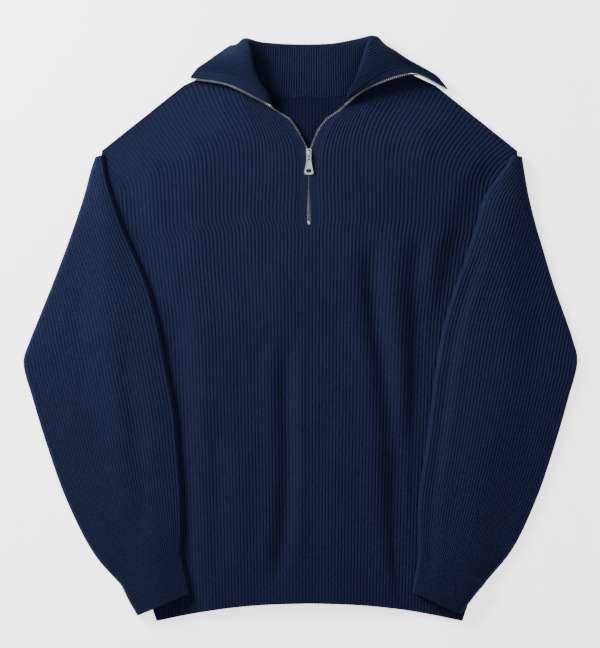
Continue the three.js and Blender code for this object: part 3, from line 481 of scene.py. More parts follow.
@dataclass
class Collar:
    """One band from zip edge to zip edge, sewn round the neckline and folded outwards.

    Each section runs from the seam up the stand, over the roll and down the fall to the free edge.
    Its points are in the middle of the wall.
    """

    left: tuple = (
        ((42, 278, 7.4), (51.5, 284.6, 15), (66, 292.5, 16.5), (104, 310.5, 17), (152, 319, 11)),
        ((54, 290, 6.3), (50.5, 291, 13.5), (55, 297, 19.5), (99, 323, 20), (143, 330, 11.5)),
        ((68, 305, 5.2), (61, 305, 14.5), (64, 312, 23.5), (95, 333, 23), (130, 339, 10.5)),
        ((80, 320, 4.6), (69, 321, 15.5), (71.5, 328, 27), (92, 343, 26), (114, 350, 9)),
        ((90, 332, 4.2), (74, 341, 15.5), (75.5, 349, 28), (87, 356, 25), (99, 359, 6)),
        ((80, 322, 1.5), (73, 347, 12.5), (77.5, 363, 23), (83, 367, 13), (88, 357, 1.5)),
        ((60, 305, 1.3), (59, 335, 8), (60, 362, 12), (61, 356, 1.6), (66, 322, 1.3)),
        ((32, 294.6, 1.3), (31, 328, 7), (30, 360, 8.5), (30, 352, 1.3), (31, 312, 1.3)),
    )
    middle: tuple = ((0, 294.6, 1.3), (0, 328, 6.5), (0, 359.6, 8.2), (0, 352, 1.3), (0, 312, 1.3))
    right: tuple = (
        ((41, 281, 7.4), (56.5, 295, 17.5), (84, 310.5, 25), (131, 323, 27), (176, 304, 11)),
        ((52, 292, 6.3), (48.5, 294, 14), (54, 301, 21), (112, 333, 30), (164, 318, 13)),
        ((65, 307, 5.2), (57.5, 308, 15), (60, 315, 24), (105, 341, 30), (144, 330, 12)),
        ((77, 321, 4.6), (64.5, 327, 16), (67, 334, 28), (98, 350, 28), (123, 342, 10)),
        ((90, 333, 4.2), (71, 346, 15.5), (72.5, 353, 29), (88, 359, 25), (104, 355, 6)),
        ((80, 323, 1.5), (71.5, 350, 12.5), (77, 367, 24), (85, 369.5, 13), (91, 360, 1.5)),
        ((60, 305, 1.3), (59, 338, 8), (60, 366, 12.5), (61, 360, 1.6), (66, 322, 1.3)),
        ((32, 294.6, 1.3), (31, 328, 7), (31, 361, 8.5), (31, 353, 1.3), (31, 312, 1.3)),
    )
    ribs: tuple = (6, 7, 6, 4, 4, 7, 10, 10)
    rib_rise: float = 0.9
    rows: int = 64
    inner_steps: int = 4
    bare_band: float = 0.8
    neck_point: float = 4.0
    flat: tuple = (0.45, 0.082)
    spans: int = 16

    def __post_init__(self) -> None:
        """Puts the sections in order from the left zip edge to the right."""
        mirrored = np.array([-1.0, 1.0, 1.0])
        left = [np.array(section, dtype=float) * mirrored for section in self.left]
        right = [np.array(section, dtype=float) for section in reversed(self.right)]
        self.sections = np.array([*left, np.array(self.middle, dtype=float), *right])

    def middle_points(self, along: np.ndarray, up: np.ndarray) -> np.ndarray:
        """Points in the middle of the wall.

        Args:
            along: places from the left zip edge, 0, to the right, 16.
            up: places from the seam, 0, to the free edge, 1.

        Returns:
            Array of len(up) rows, len(along) columns and x, y, z.
        """
        lines = curve(self.sections, np.asarray(along, dtype=float))
        points = curve(lines.transpose(1, 0, 2), np.asarray(up, dtype=float) * 4.0)
        points[..., 2] = np.maximum(points[..., 2], WALL / 2)
        return points

    def face(self, along: np.ndarray, up: np.ndarray, offset: Callable[[np.ndarray], np.ndarray]) -> np.ndarray:
        """A face of the wall, at an offset from its middle that may depend on the face's normal."""
        points = self.middle_points(along, up)
        across = np.gradient(points, axis=1)
        upward = np.gradient(points, axis=0)
        normal = np.cross(across, upward)
        normal /= np.maximum(np.linalg.norm(normal, axis=-1, keepdims=True), 1e-9)
        moved = points + normal * offset(normal)[..., None]
        moved[..., 2] = np.maximum(moved[..., 2], 0.0)
        return moved

    def columns(self) -> tuple[np.ndarray, np.ndarray]:
        """Places of the fine columns along the collar, and the rib number of each."""
        counts = [*self.ribs, *reversed(self.ribs)]
        along, number, total = [0.0], [0.0], 0
        for span, count in enumerate(counts):
            for k in range(1, count * RIB_SAMPLES + 1):
                along.append(span + k / (count * RIB_SAMPLES))
                number.append(total + k / RIB_SAMPLES)
            total += count
        return np.array(along), np.array(number)

    def knit_place(self, points: np.ndarray, number: np.ndarray) -> np.ndarray:
        """Place on the knit of each point, with the length along each rib in centimetres."""
        steps = np.linalg.norm(np.diff(points, axis=0), axis=-1).mean(axis=1)
        length = np.concatenate([[0.0], np.cumsum(steps)]) / 10.0
        grid_u, grid_v = np.meshgrid(number, length)
        return np.stack([grid_u, grid_v], axis=-1)

    def build(self) -> bpy.types.Object:
        along, number = self.columns()
        up = np.concatenate([np.linspace(0, 0.985, self.rows), [0.992, 0.997, 1.0]])
        bare = smooth(0.0, 0.12, along - self.bare_band) * smooth(0.0, 0.12, self.spans - self.bare_band - along)
        rib = self.rib_rise * rib_profile(number) * bare
        edge = np.minimum(along, self.spans - along) * 14.0
        fall = (1.0 - up) * 95.0

        def outer(normal: np.ndarray) -> np.ndarray:
            """Offset of the ribbed face, round at the free edges."""
            shown = smooth(0.0, 0.4, normal[..., 2])
            drop = edge_round(edge)[None, :] + edge_round(fall)[:, None]
            return WALL / 2 + rib[None, :] * shown - np.minimum(drop, 1.3)

        self.upper = self.face(along, up, outer)
        coarse = np.linspace(0, self.spans, self.spans * self.inner_steps + 1)
        lower = self.face(coarse, up, lambda normal: np.full(normal.shape[:2], -WALL / 2))
        coarse_number = np.interp(coarse, along, number)
        cloth = Cloth()
        top = cloth.grid(self.upper, self.knit_place(self.upper, number), 0.0)
        bottom = cloth.grid(lower, self.knit_place(lower, coarse_number), 1.0)
        cloth.wall(top, bottom, (along, coarse))
        made = cloth.build("collar_band")
        dress(made, COLLAR_KNIT)
        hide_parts("collar")
        return made

    def neck_edge(self, side: Side, t: np.ndarray, clear: float = 2.2, corner: float = 0.6) -> np.ndarray:
        """The front's neck edge from the zip, 0, to the shoulder seam, 1, clear of the collar.

        Args:
            side: the half.
            t: places along the edge.
            clear: distance from the middle of the collar's wall.
            corner: more of the same at the zip.

        Returns:
            Array of x and y, with x from the centre line.
        """
        t = np.atleast_1d(np.asarray(t, dtype=float))
        start = t * self.neck_point
        along = start if side is Side.LEFT else self.spans - start
        seam = self.middle_points(np.clip(along, 0, self.spans), np.array([0.0]))[0]
        step = 0.05 * side.value
        ahead = self.middle_points(np.clip(along - step, 0, self.spans), np.array([0.0]))[0]
        behind = self.middle_points(np.clip(along + step, 0, self.spans), np.array([0.0]))[0]
        run = ahead - behind
        run[:, 0] *= side.value
        run[:, 2] = 0
        run /= np.linalg.norm(run, axis=1, keepdims=True)
        space = clear + corner * (1.0 - t)
        return np.stack([seam[:, 0] * side.value + run[:, 1] * space, seam[:, 1] - run[:, 0] * space], axis=1)


@dataclass(frozen=True)
class BodyRow:
    """A row across the body: heights, zip edges, fullness and the shares that bend it."""

    inner_y: float
    left: float
    right: float
    outer_y: float
    rise: float
    cover_left: float
    cover_right: float
    shoulder: float
    hem: float


@dataclass(frozen=True)
class Fold:
    """A long soft fold pressed into the front, by its distance from the centre line at two heights."""

    side: Side
    low_y: float
    # Builds the studio and the sweater piece by piece.
    low_x: float
    high_y: float
    high_x: float
    width: float
    depth: float


@dataclass
class Body:
    """Front and back panels. The front has a slit for the zip."""

    collar: Collar
    rows: tuple = (
        BodyRow(-349.5, 0, 0, -372, 5.2, 0.78, 0.68, 0, 1),
        BodyRow(-290, 0, 0, -312, 6.6, 0.76, 0.63, 0, 0.8),
        BodyRow(-190, 0, 0, -205, 9.2, 0.68, 0.58, 0, 0.2),
        BodyRow(-90, 0, 0, -100, 9.6, 0.67, 0.59, 0, 0),
        BodyRow(0, 0, 0, -8, 9.6, 0.68, 0.61, 0.04, 0),
        BodyRow(75, 0, 0, 60, 9.2, 0.8, 0.71, 0.12, 0),
        BodyRow(128, 0, 0, 98, 8.6, 0.85, 0.78, 0.18, 0),
        BodyRow(134, 3.1, 1.1, 103, 8.5, 0.86, 0.79, 0.2, 0),
        BodyRow(190, 1.8, -0.2, 140, 8.2, 0.91, 0.85, 0.34, 0),
        BodyRow(228, 4.5, 2.5, 170, 7.6, 0.94, 0.9, 0.44, 0),
        BodyRow(253, 17.5, 12.8, 190, 4.6, 0.97, 0.94, 0.52, 0),
        BodyRow(266, 27, 23, 205, 2.2, 0.98, 0.96, 0.58, 0),
        BodyRow(278, 42, 41, 226, 0, 1, 1, 1, 0),
    )
    side_y: tuple = (-374, -353, -310, -205, -100, -2, 60, 100, 150, 190, 226)
    side_x: tuple = (194, 199, 213, 240, 259, 270, 266, 263, 262, 264, 264)
    pitch_y: tuple = (-350, -190, 0, 130, 200, 278)
    pitch: tuple = (4.06, 4.2, 4.4, 4.75, 4.9, 4.9)
    folds: tuple = (
        Fold(Side.LEFT, -275, 34, -60, 27, 11, 6.0),
        Fold(Side.LEFT, -260, 114, -165, 122, 17, 4.0),
        Fold(Side.RIGHT, -290, 117, 60, 82, 13, 7.5),
        Fold(Side.RIGHT, -110, 136, 80, 138, 14, 6.5),
    )
    slit_row: int = 6
    hem_curve: float = 6.0
    neck_share: float = 0.26
    neck_lift: float = 1.8
    bend_u: tuple = (0.40, 0.52, 1.0)
    bend_x: tuple = (128.0, 160.0, 264.0)
    bend_y: tuple = (324.0, 309.0, 226.0)
    plain_band: float = 12.0
    rib_rise: float = 0.95
    row_step: float = 6.5
    coarse: int = 24
    front_flat: tuple = (0.54, 0.70)
    front_area: float = 0.327
    back_flat: tuple = (0.54, 0.70)
    back_area: float = 0.322

    def side_at(self, y: float) -> float:
        """Half width of the body at a height."""
        return float(np.interp(y, self.side_y, self.side_x))

    def fold_depth(self, side: Side, x: np.ndarray, y: np.ndarray) -> np.ndarray:
        """How deep the folds are at each point, with a low ridge along both sides of each."""
        depth = np.zeros(np.broadcast(x, y).shape)
        for fold in self.folds:
            if fold.side is not side:
                continue
            t = np.clip((y - fold.low_y) / (fold.high_y - fold.low_y), -0.3, 1.3)
            middle = fold.low_x + (fold.high_x - fold.low_x) * t
            middle = middle + 3.0 * np.sin(y / 47.0 + fold.low_x)
            fade = smooth(fold.low_y - 60, fold.low_y, y) * (1 - smooth(fold.high_y, fold.high_y + 60, y))
            off = (x - middle) / fold.width
            ridge = 0.22 * (np.exp(-((off - 1.9) ** 2)) + np.exp(-((off + 1.9) ** 2)))
            depth = depth + fold.depth * fade * (np.exp(-(off**2)) - ridge)
        return depth * smooth(0, 12, x)

    def under_row(self, side: Side, index: int, u: np.ndarray) -> np.ndarray:
        """Underside of the front along one row.

        Args:
            side: the half.
            index: number of the row.
            u: places from the centre or zip edge, 0, to the side, 1.

        Returns:
            Array of x, y, z, with x from the centre line.
        """
        row, top = self.rows[index], self.rows[-1]
        last = index == len(self.rows) - 1
        outer = self.side_at(row.outer_y)
        zip_x = row.left if side is Side.LEFT else row.right
        x = zip_x + (outer - zip_x) * u
        y = row.inner_y + (row.outer_y - row.inner_y) * u
        start = self.collar.neck_edge(side, 0.0)[0]
        neck = self.collar.neck_edge(side, 1.0)[0]
        end = np.array([self.side_at(top.outer_y), top.outer_y])
        shoulder_u = (self.neck_share, *self.bend_u)
        edge_x = np.interp(u, shoulder_u, (neck[0], *self.bend_x))
        edge_y = np.interp(u, shoulder_u, (neck[1], *self.bend_y))
        near = u < self.neck_share
        neck_line = self.collar.neck_edge(side, np.clip(u / self.neck_share, 0, 1))
        edge_x = np.where(near, neck_line[:, 0], edge_x)
        edge_y = np.where(near, neck_line[:, 1], edge_y)
        if last:
            x, y = edge_x, edge_y
        else:
            x = x + row.shoulder * (edge_x - (start[0] + (end[0] - start[0]) * u))
            y = y + row.shoulder * (edge_y - (start[1] + (end[1] - start[1]) * u))
            y = y + row.hem * self.hem_curve * np.sin(np.pi * u)
        cover = row.cover_left if side is Side.LEFT else row.cover_right
        bare = 1 - smooth(cover - 0.17, cover - 0.03, u)
        lift = self.neck_lift * np.clip(1 - u / self.neck_share, 0, 1) ** 2 if last else 0.0
        z = FRONT_REST + row.rise * bare + lift
        return np.stack([x, y, z], axis=1)

    def places(self) -> np.ndarray:
        """Places of the fine rows, closer together at the hem's edge."""
        found = [0.0, 0.006, 0.015, 0.03]
        for index in range(len(self.rows) - 1):
            gap = abs(self.rows[index + 1].inner_y - self.rows[index].inner_y)
            steps = max(2, math.ceil(gap / self.row_step))
            found.extend(index + k / steps for k in range(1, steps + 1))
        return np.array(found)

    def surface(self, side: Side, number: np.ndarray, at: np.ndarray) -> np.ndarray:
        """Underside of the front, along ribs of given numbers and at given rows."""
        lines = []
        for index, row in enumerate(self.rows):
            zip_x = row.left if side is Side.LEFT else row.right
            pitch = np.interp(row.inner_y, self.pitch_y, self.pitch)
            ribs = (self.side_at(row.outer_y) - zip_x) / pitch
            lines.append(self.under_row(side, index, np.clip(number / ribs, 0, 1)))
        points = curve(np.array(lines), at)
        shut = (at <= self.slit_row)[:, None]
        points[..., 0] -= np.where(shut, points[:, :1, 0] * np.clip(1 - number / 3, 0, 1)[None, :], 0)
        order = np.arange(len(self.rows))
        seam_y = np.interp(at, order, [row.inner_y for row in self.rows])
        seam_z = FRONT_REST + np.interp(at, order, [row.rise for row in self.rows])
        points[:, 0, 1] = np.where(shut[:, 0], seam_y, points[:, 0, 1])
        points[:, 0, 2] = np.where(shut[:, 0], seam_z, points[:, 0, 2])
        x, y, z = points[..., 0], points[..., 1], points[..., 2]
        room = np.clip((z - FRONT_REST) / 3.0, 0, 1)
        soft = self.fold_depth(side, x, y)
        soft = soft - 0.9 * ripple(x * side.value, y, 7) * smooth(0, 25, x)
        points[..., 2] = z - np.minimum(soft * room, np.maximum(z - FRONT_REST, 0))
        return points

    def knit_place(self, points: np.ndarray, number: np.ndarray) -> np.ndarray:
        """Place on the knit of each point of a grid."""
        length = points[..., 1].mean(axis=1, keepdims=True) / 10.0
        return np.stack(np.broadcast_arrays(number[None, :], length), axis=-1)

    def front(self) -> bpy.types.Object:
        at = self.places()
        most = 0.0
        for row in self.rows:
            pitch = np.interp(row.inner_y, self.pitch_y, self.pitch)
            most = max(most, self.side_at(row.outer_y) / pitch)
        fine = np.arange(math.ceil(most) * RIB_SAMPLES + 1) / RIB_SAMPLES
        fine = np.concatenate([[0.0, 0.06], fine[1:]])
        coarse = np.linspace(0, fine[-1], self.coarse + 1)
        self.tops: dict[Side, np.ndarray] = {}
        cloth = Cloth()
        for side in Side:
            cloth.side = side
            under = self.surface(side, fine, at)
            upper = under.copy()
            x_edge = upper[:, :1, 0]
            inner = upper[..., 0] - x_edge
            slit = smooth(self.slit_row - 0.4, self.slit_row + 0.6, at)[:, None]
            bare = slit * (1 - smooth(self.plain_band - 2, self.plain_band + 1.5, inner))
            to_side = np.linalg.norm(upper[..., :2] - upper[:, -1:, :2], axis=-1)
            rib = self.rib_rise * rib_profile(fine)[None, :] * (1 - bare) * smooth(0.0, 3.0, to_side)
            hem = edge_round((at * 59.5))[:, None]
            zip_edge = edge_round(inner, 1.2, 0.8) * (slit > 0.5)
            upper[..., 2] += WALL + rib - np.minimum(hem + zip_edge, 1.3)
            lower = self.surface(side, coarse, at)
            self.tops[side] = upper
            top = cloth.grid(upper, self.knit_place(upper, fine), 0.0)
            bottom = cloth.grid(lower, self.knit_place(lower, coarse), 1.0)
            open_from = int(np.searchsorted(at, self.slit_row - 1e-6))
            cloth.wall(top, bottom, (fine, coarse), start_open=lambda row: row >= open_from)
        made = cloth.build("front_cloth")
        dress(made, BODY_KNIT)
        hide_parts("front_panel")
        return made

    def back(self) -> bpy.types.Object:
        neck_u = (0, 0.12, 0.2, 0.26, 0.3, 0.42, 0.54, 1)
        neck_x = (0, 31, 61, 82.5, 96, 128, 160, 264)
        neck_y = (294.4, 294.4, 303, 318, 327, 324, 309, 226)
        u = np.linspace(0, 1, 51)
        edge = np.stack([np.interp(u, neck_u, neck_x), np.interp(u, neck_u, neck_y)], axis=1)
        lines = []
        for index, row in enumerate(self.rows):
            outer = self.side_at(row.outer_y)
            x = outer * u + row.shoulder * (edge[:, 0] - 264 * u)
            arch = row.hem * self.hem_curve * np.sin(np.pi * u) + (1.0 if index == 0 else 0.0)
            y = min(row.inner_y, 276) + (row.outer_y - min(row.inner_y, 276)) * u
            y = y + row.shoulder * (edge[:, 1] - (294 + (226 - 294) * u)) + arch
            if index == len(self.rows) - 1:
                x, y = edge[:, 0], edge[:, 1]
            lines.append(np.stack([x, y, np.zeros_like(u)], axis=1))
        at = self.places()
        points = curve(np.array(lines), at)
        points[:, 0, 0] = 0
        number = u * 61
        cloth = Cloth()
        for side in Side:
            cloth.side = side
            raised = points + np.array([0, 0, WALL])
            raised[..., 2] -= edge_round(at * 59.5)[:, None] * 0.8
            top = cloth.grid(raised, self.knit_place(points, number), 1.0)
            bottom = cloth.grid(points, self.knit_place(points, number), 1.0)
            cloth.wall(top, bottom, (u, u), start_open=lambda row: False)
        made = cloth.build("back_cloth")
        # the back panel takes the knit whose darker dye is painted shade
        dress(made, SHADED_BACK_KNIT)
        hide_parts("back_panel")
        return made


@dataclass(frozen=True)
class Groove:
    """A long soft groove in a sleeve, at a distance from its inner edge."""

    start: float
    width: float
    depth: float
    low_y: float
    high_y: float


@dataclass
class Tube:
    """A sleeve or cuff, lying flat: its outer part on the floor and its inner part on the body.

    Each row is outer x, outer y, inner x, inner y. The rows before slit_rows are slit along the
    armhole, where the sleeve is sewn to the body.
    """

    name: str
    side: Side
    rows: tuple
    slit_rows: int
    groove: Groove
    body: Body
    flat: tuple
    area: Optional[float]
    ribs: int = 40
    edge: float = 3.0
    over: float = 7.0
    edge_full: float = 5.8
    middle_full: float = 13.0
    step: float = 6.5
    step_space: float = 2.0
    seam_space: float = 0.5
    rib_rise: float = 0.9
    row_step: float = 7.0
    inner_steps: int = 16
    mouth_round: bool = False

    def side_line(self) -> tuple[list, list]:
        """The side of the body as the CAD panels' straight runs make it."""
        heights = [row.outer_y for row in self.body.rows]
        return heights, [self.body.side_at(y) for y in heights]

    def section(self, line: np.ndarray, pitch: float, closed: bool, outside: bool) -> tuple:
        """One section across the tube.

        Args:
            line: outer x, outer y, inner x, inner y.
            pitch: distance between two fine columns.
            closed: whether the tube is closed here, and not slit along the armhole.
            outside: the outer skin with its ribs, or the inner one.

        Returns:
            Points, places along the section and rib numbers.
        """
        outer, inner = line[:2], line[2:4]
        width = float(np.hypot(*(outer - inner)))
        heights, halves = self.side_line()
        low, high = 0.0, width
        for _ in range(40):
            middle = (low + high) / 2
            spot = inner + (outer - inner) * middle / width
            if spot[0] < np.interp(spot[1], heights, halves):
                low = middle
            else:
                high = middle
        seam = low
        fullness = min(self.middle_full, self.edge_full + 0.12 * width)
        near = min(self.edge, width * 0.22) if outside else min(self.edge + 1, width * 0.3)
        far = width - near
        aboard = closed and seam + self.step + 4 > far
        skin = 0.0 if outside else WALL
        inset = 0.0 if outside else min(WALL, width * 0.24)
        fine = self.ribs * RIB_SAMPLES
        count = fine if outside else self.inner_steps

        def base(s: np.ndarray) -> np.ndarray:
            """Height of the underside."""
            share = 1.0 if aboard else 1 - smooth(seam - 25, seam + self.step + 22, s)
            return self.over * share

        def top(s: np.ndarray) -> np.ndarray:
            """Height of the upper face without its ribs."""
            spot = inner + (outer - inner) * np.asarray(s)[..., None] / width
            g = self.groove
            fade = smooth(g.low_y - 50, g.low_y, spot[..., 1]) * (1 - smooth(g.high_y, g.high_y + 50, spot[..., 1]))
            off = (s - g.start) / g.width
            dip = g.depth * fade * (np.exp(-(off**2)) - 0.3 * np.exp(-((off - 1.8) ** 2)))
            arc = np.sin(np.pi * np.clip(s, 0, width) / width) ** 0.7
            soft = 0.8 * arc * ripple(spot[..., 0] * self.side.value, spot[..., 1], 11)
            return base(s) + self.edge_full + (fullness - self.edge_full) * arc - dip + soft

        floor = (self.over if aboard else 0.0) + skin
        over = self.over + skin
        step_top = min(seam + self.step_space, far - 3)
        step_middle = min(seam + self.step_space + self.step / 2, far - 2)
        step_foot = min(seam + self.step_space + self.step, far - 1)
        start = step_middle if closed else min(seam + self.seam_space, far - 0.4)
        second = step_foot if closed else min(seam + 2, far - 0.3)
        spots = [(start, (floor + over) / 2 if closed else floor, 0.0), (second, floor, 0.2)]
        spots += [((second + far) / 2, floor, 0.5), (far, floor, 0.9)]
        turn = 0.3 * self.edge_full if outside else 0.5 * self.edge_full
        if outside:
            spots.append((width - 0.6, float(base(width)) + turn * 0.55, 0.94))
        spots.append((width - inset, float(base(width)) + self.edge_full / 2, 1.0))
        if outside:
            spots.append((width - 0.5, float(base(width)) + self.edge_full * 0.8, 1.02))
        k = np.arange(count, -1, -1)
        run = np.minimum(near + k * pitch, far) if outside else near + (far - near) * k / count
        numbers = k / RIB_SAMPLES if outside else k * self.ribs / count
        rise = self.rib_rise * rib_profile(numbers) * (run < far) if outside else 0.0
        crest = top(run) - skin + rise
        spots += list(zip(run, crest, 1 + 0.05 + 0.9 * (1 - k / count)))
        if outside:
            spots.append((0.5, float(base(0)) + self.edge_full * 0.8, 1.98))
        spots.append((inset, float(base(0)) + self.edge_full / 2, 2.0))
        if outside:
            spots.append((0.7, float(base(0)) + turn * 0.5, 2.04))
        spots.append((near, over, 2.1))
        spots.append(((near + seam) / 2, over, 2.5))
        if closed:
            spots += [(step_top, over, 2.8), (step_middle, (floor + over) / 2, 3.0)]
        else:
            spots += [(max(seam - 2, near + 0.3), over, 2.8), (max(seam, near + 0.6), over, 3.0)]
        table = np.array(spots, dtype=float)
        place = inner + (outer - inner) * table[:, :1] / width
        points = np.concatenate([place, table[:, 1:2]], axis=1)
        rib_pitch = pitch * RIB_SAMPLES if outside else (far - near) / self.ribs
        return points, table[:, 2], (table[:, 0] - near) / rib_pitch

    def build(self) -> bpy.types.Object:
        table = np.array(self.rows, dtype=float)
        at = [0.0]
        for index in range(len(table) - 1):
            gap = abs(table[index + 1, 3] - table[index, 3])
            steps = max(2, math.ceil(gap / self.row_step))
            at.extend(index + k / steps for k in range(1, steps + 1))
        if self.mouth_round:
            last = len(table) - 1
            at = at[:-1] + [last - 0.06, last - 0.03, last - 0.012, last]
        at = np.array(at, dtype=float)
        lines = np.concatenate(
            [curve(table[:, None, :2], at)[:, 0], curve(table[:, None, 2:], at)[:, 0]], axis=1
        )
        widths = np.hypot(lines[:, 0] - lines[:, 2], lines[:, 1] - lines[:, 3])
        widest = int(np.argmax(widths))
        fine = self.ribs * RIB_SAMPLES
        sections = {}
        for outside in (True, False):
            rows, numbers = [], []
            for index, line in enumerate(lines):
                shown = widths[widest] if index <= widest else widths[index]
                pitch = (shown - 2 * self.edge) / fine
                share = float(np.clip(at[index] - (self.slit_rows - 1), 0, 1)) if self.slit_rows else 1.0
                open_form = self.section(line, pitch, False, outside)
                shut_form = self.section(line, pitch, True, outside)
                rows.append(open_form[0] * (1 - share) + shut_form[0] * share)
                numbers.append(shut_form[2] * share + open_form[2] * (1 - share))
            points = np.array(rows)
            if self.mouth_round and outside:
                gap = (at[-1] - at) * abs(table[-1, 3] - table[-2, 3])
                points = self.rounded(points, edge_round(gap, 1.6, 0.9))
            length = np.concatenate([[0], np.cumsum(np.abs(np.diff(lines[:, 3])))]) / 10
            knit = np.stack(np.broadcast_arrays(np.array(numbers), length[:, None]), axis=-1)
            sections[outside] = (points, knit, shut_form[1])
        cloth = Cloth(self.side)
        outer_points, outer_knit, outer_at = sections[True]
        inner_points, inner_knit, inner_at = sections[False]
        outer = cloth.grid(outer_points, outer_knit, 0.0)
        inner = cloth.grid(inner_points, inner_knit, 1.0)
        closed = at >= self.slit_rows

        def free(row: int) -> bool:
            """Whether the tube is slit above a row."""
            return not (closed[row] and closed[row + 1])

        cloth.wall(outer, inner, (outer_at, inner_at), start_open=free, end_open=free)
        made = cloth.build(self.name + "_cloth")
        dress(made, SLEEVE_KNIT)
        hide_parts(self.name)
        return made

    def rounded(self, points: np.ndarray, drop: np.ndarray) -> np.ndarray:
        """Draws the outer skin in towards the wall's middle near the mouth."""
        middle = points.mean(axis=1, keepdims=True)
        toward = middle - points
        toward[..., 1] = 0
        span = np.maximum(np.linalg.norm(toward, axis=-1, keepdims=True), 1e-6)
        flat_turn = np.zeros_like(points)
        flat_turn[..., 2] = np.sign(middle[..., 2] - points[..., 2]) * drop[:, None]
        return points + flat_turn + 0 * toward / span


GROOVE_LEFT = Groove(52, 14, 2.6, -230, -50)
GROOVE_RIGHT = Groove(17, 8, 2.4, -290, 60)
SLEEVE_LEFT = (
    (272.5, 218, 261, 221), (278, 202, 257, 193), (286, 172, 247, 160), (297, 138, 234, 124),
    (310, 101, 219, 90), (326, 59, 203, 50), (344, 14, 190, 2), (356, -16, 184, -30),
    (364, -42, 178, -62), (352, -90, 170, -106), (332, -155, 165, -164), (310, -216, 161, -222),
    (274, -287, 161, -258), (239.5, -326.5, 163, -284.5),
)
SLEEVE_RIGHT = (
    (270.5, 218, 258, 221), (273, 202, 245, 200), (279, 168, 222, 168), (288, 132, 210, 128),
    (298, 98, 199, 94), (311, 55, 183, 48), (327, 10, 169, 0), (335, -14, 164, -28),
    (341, -40, 159, -58), (329, -90, 153, -106), (310, -155, 146, -160), (289, -216, 138, -216),
    (258, -281, 137, -256), (225, -321.5, 138.5, -285),
)
CUFF_LEFT = ((239.5, -326.4, 163.0, -284.4), (229, -348, 156, -311), (219, -365, 151.5, -336))
CUFF_RIGHT = ((225.0, -321.4, 138.5, -284.9), (207, -343, 134.5, -310), (193, -362.5, 130, -334))


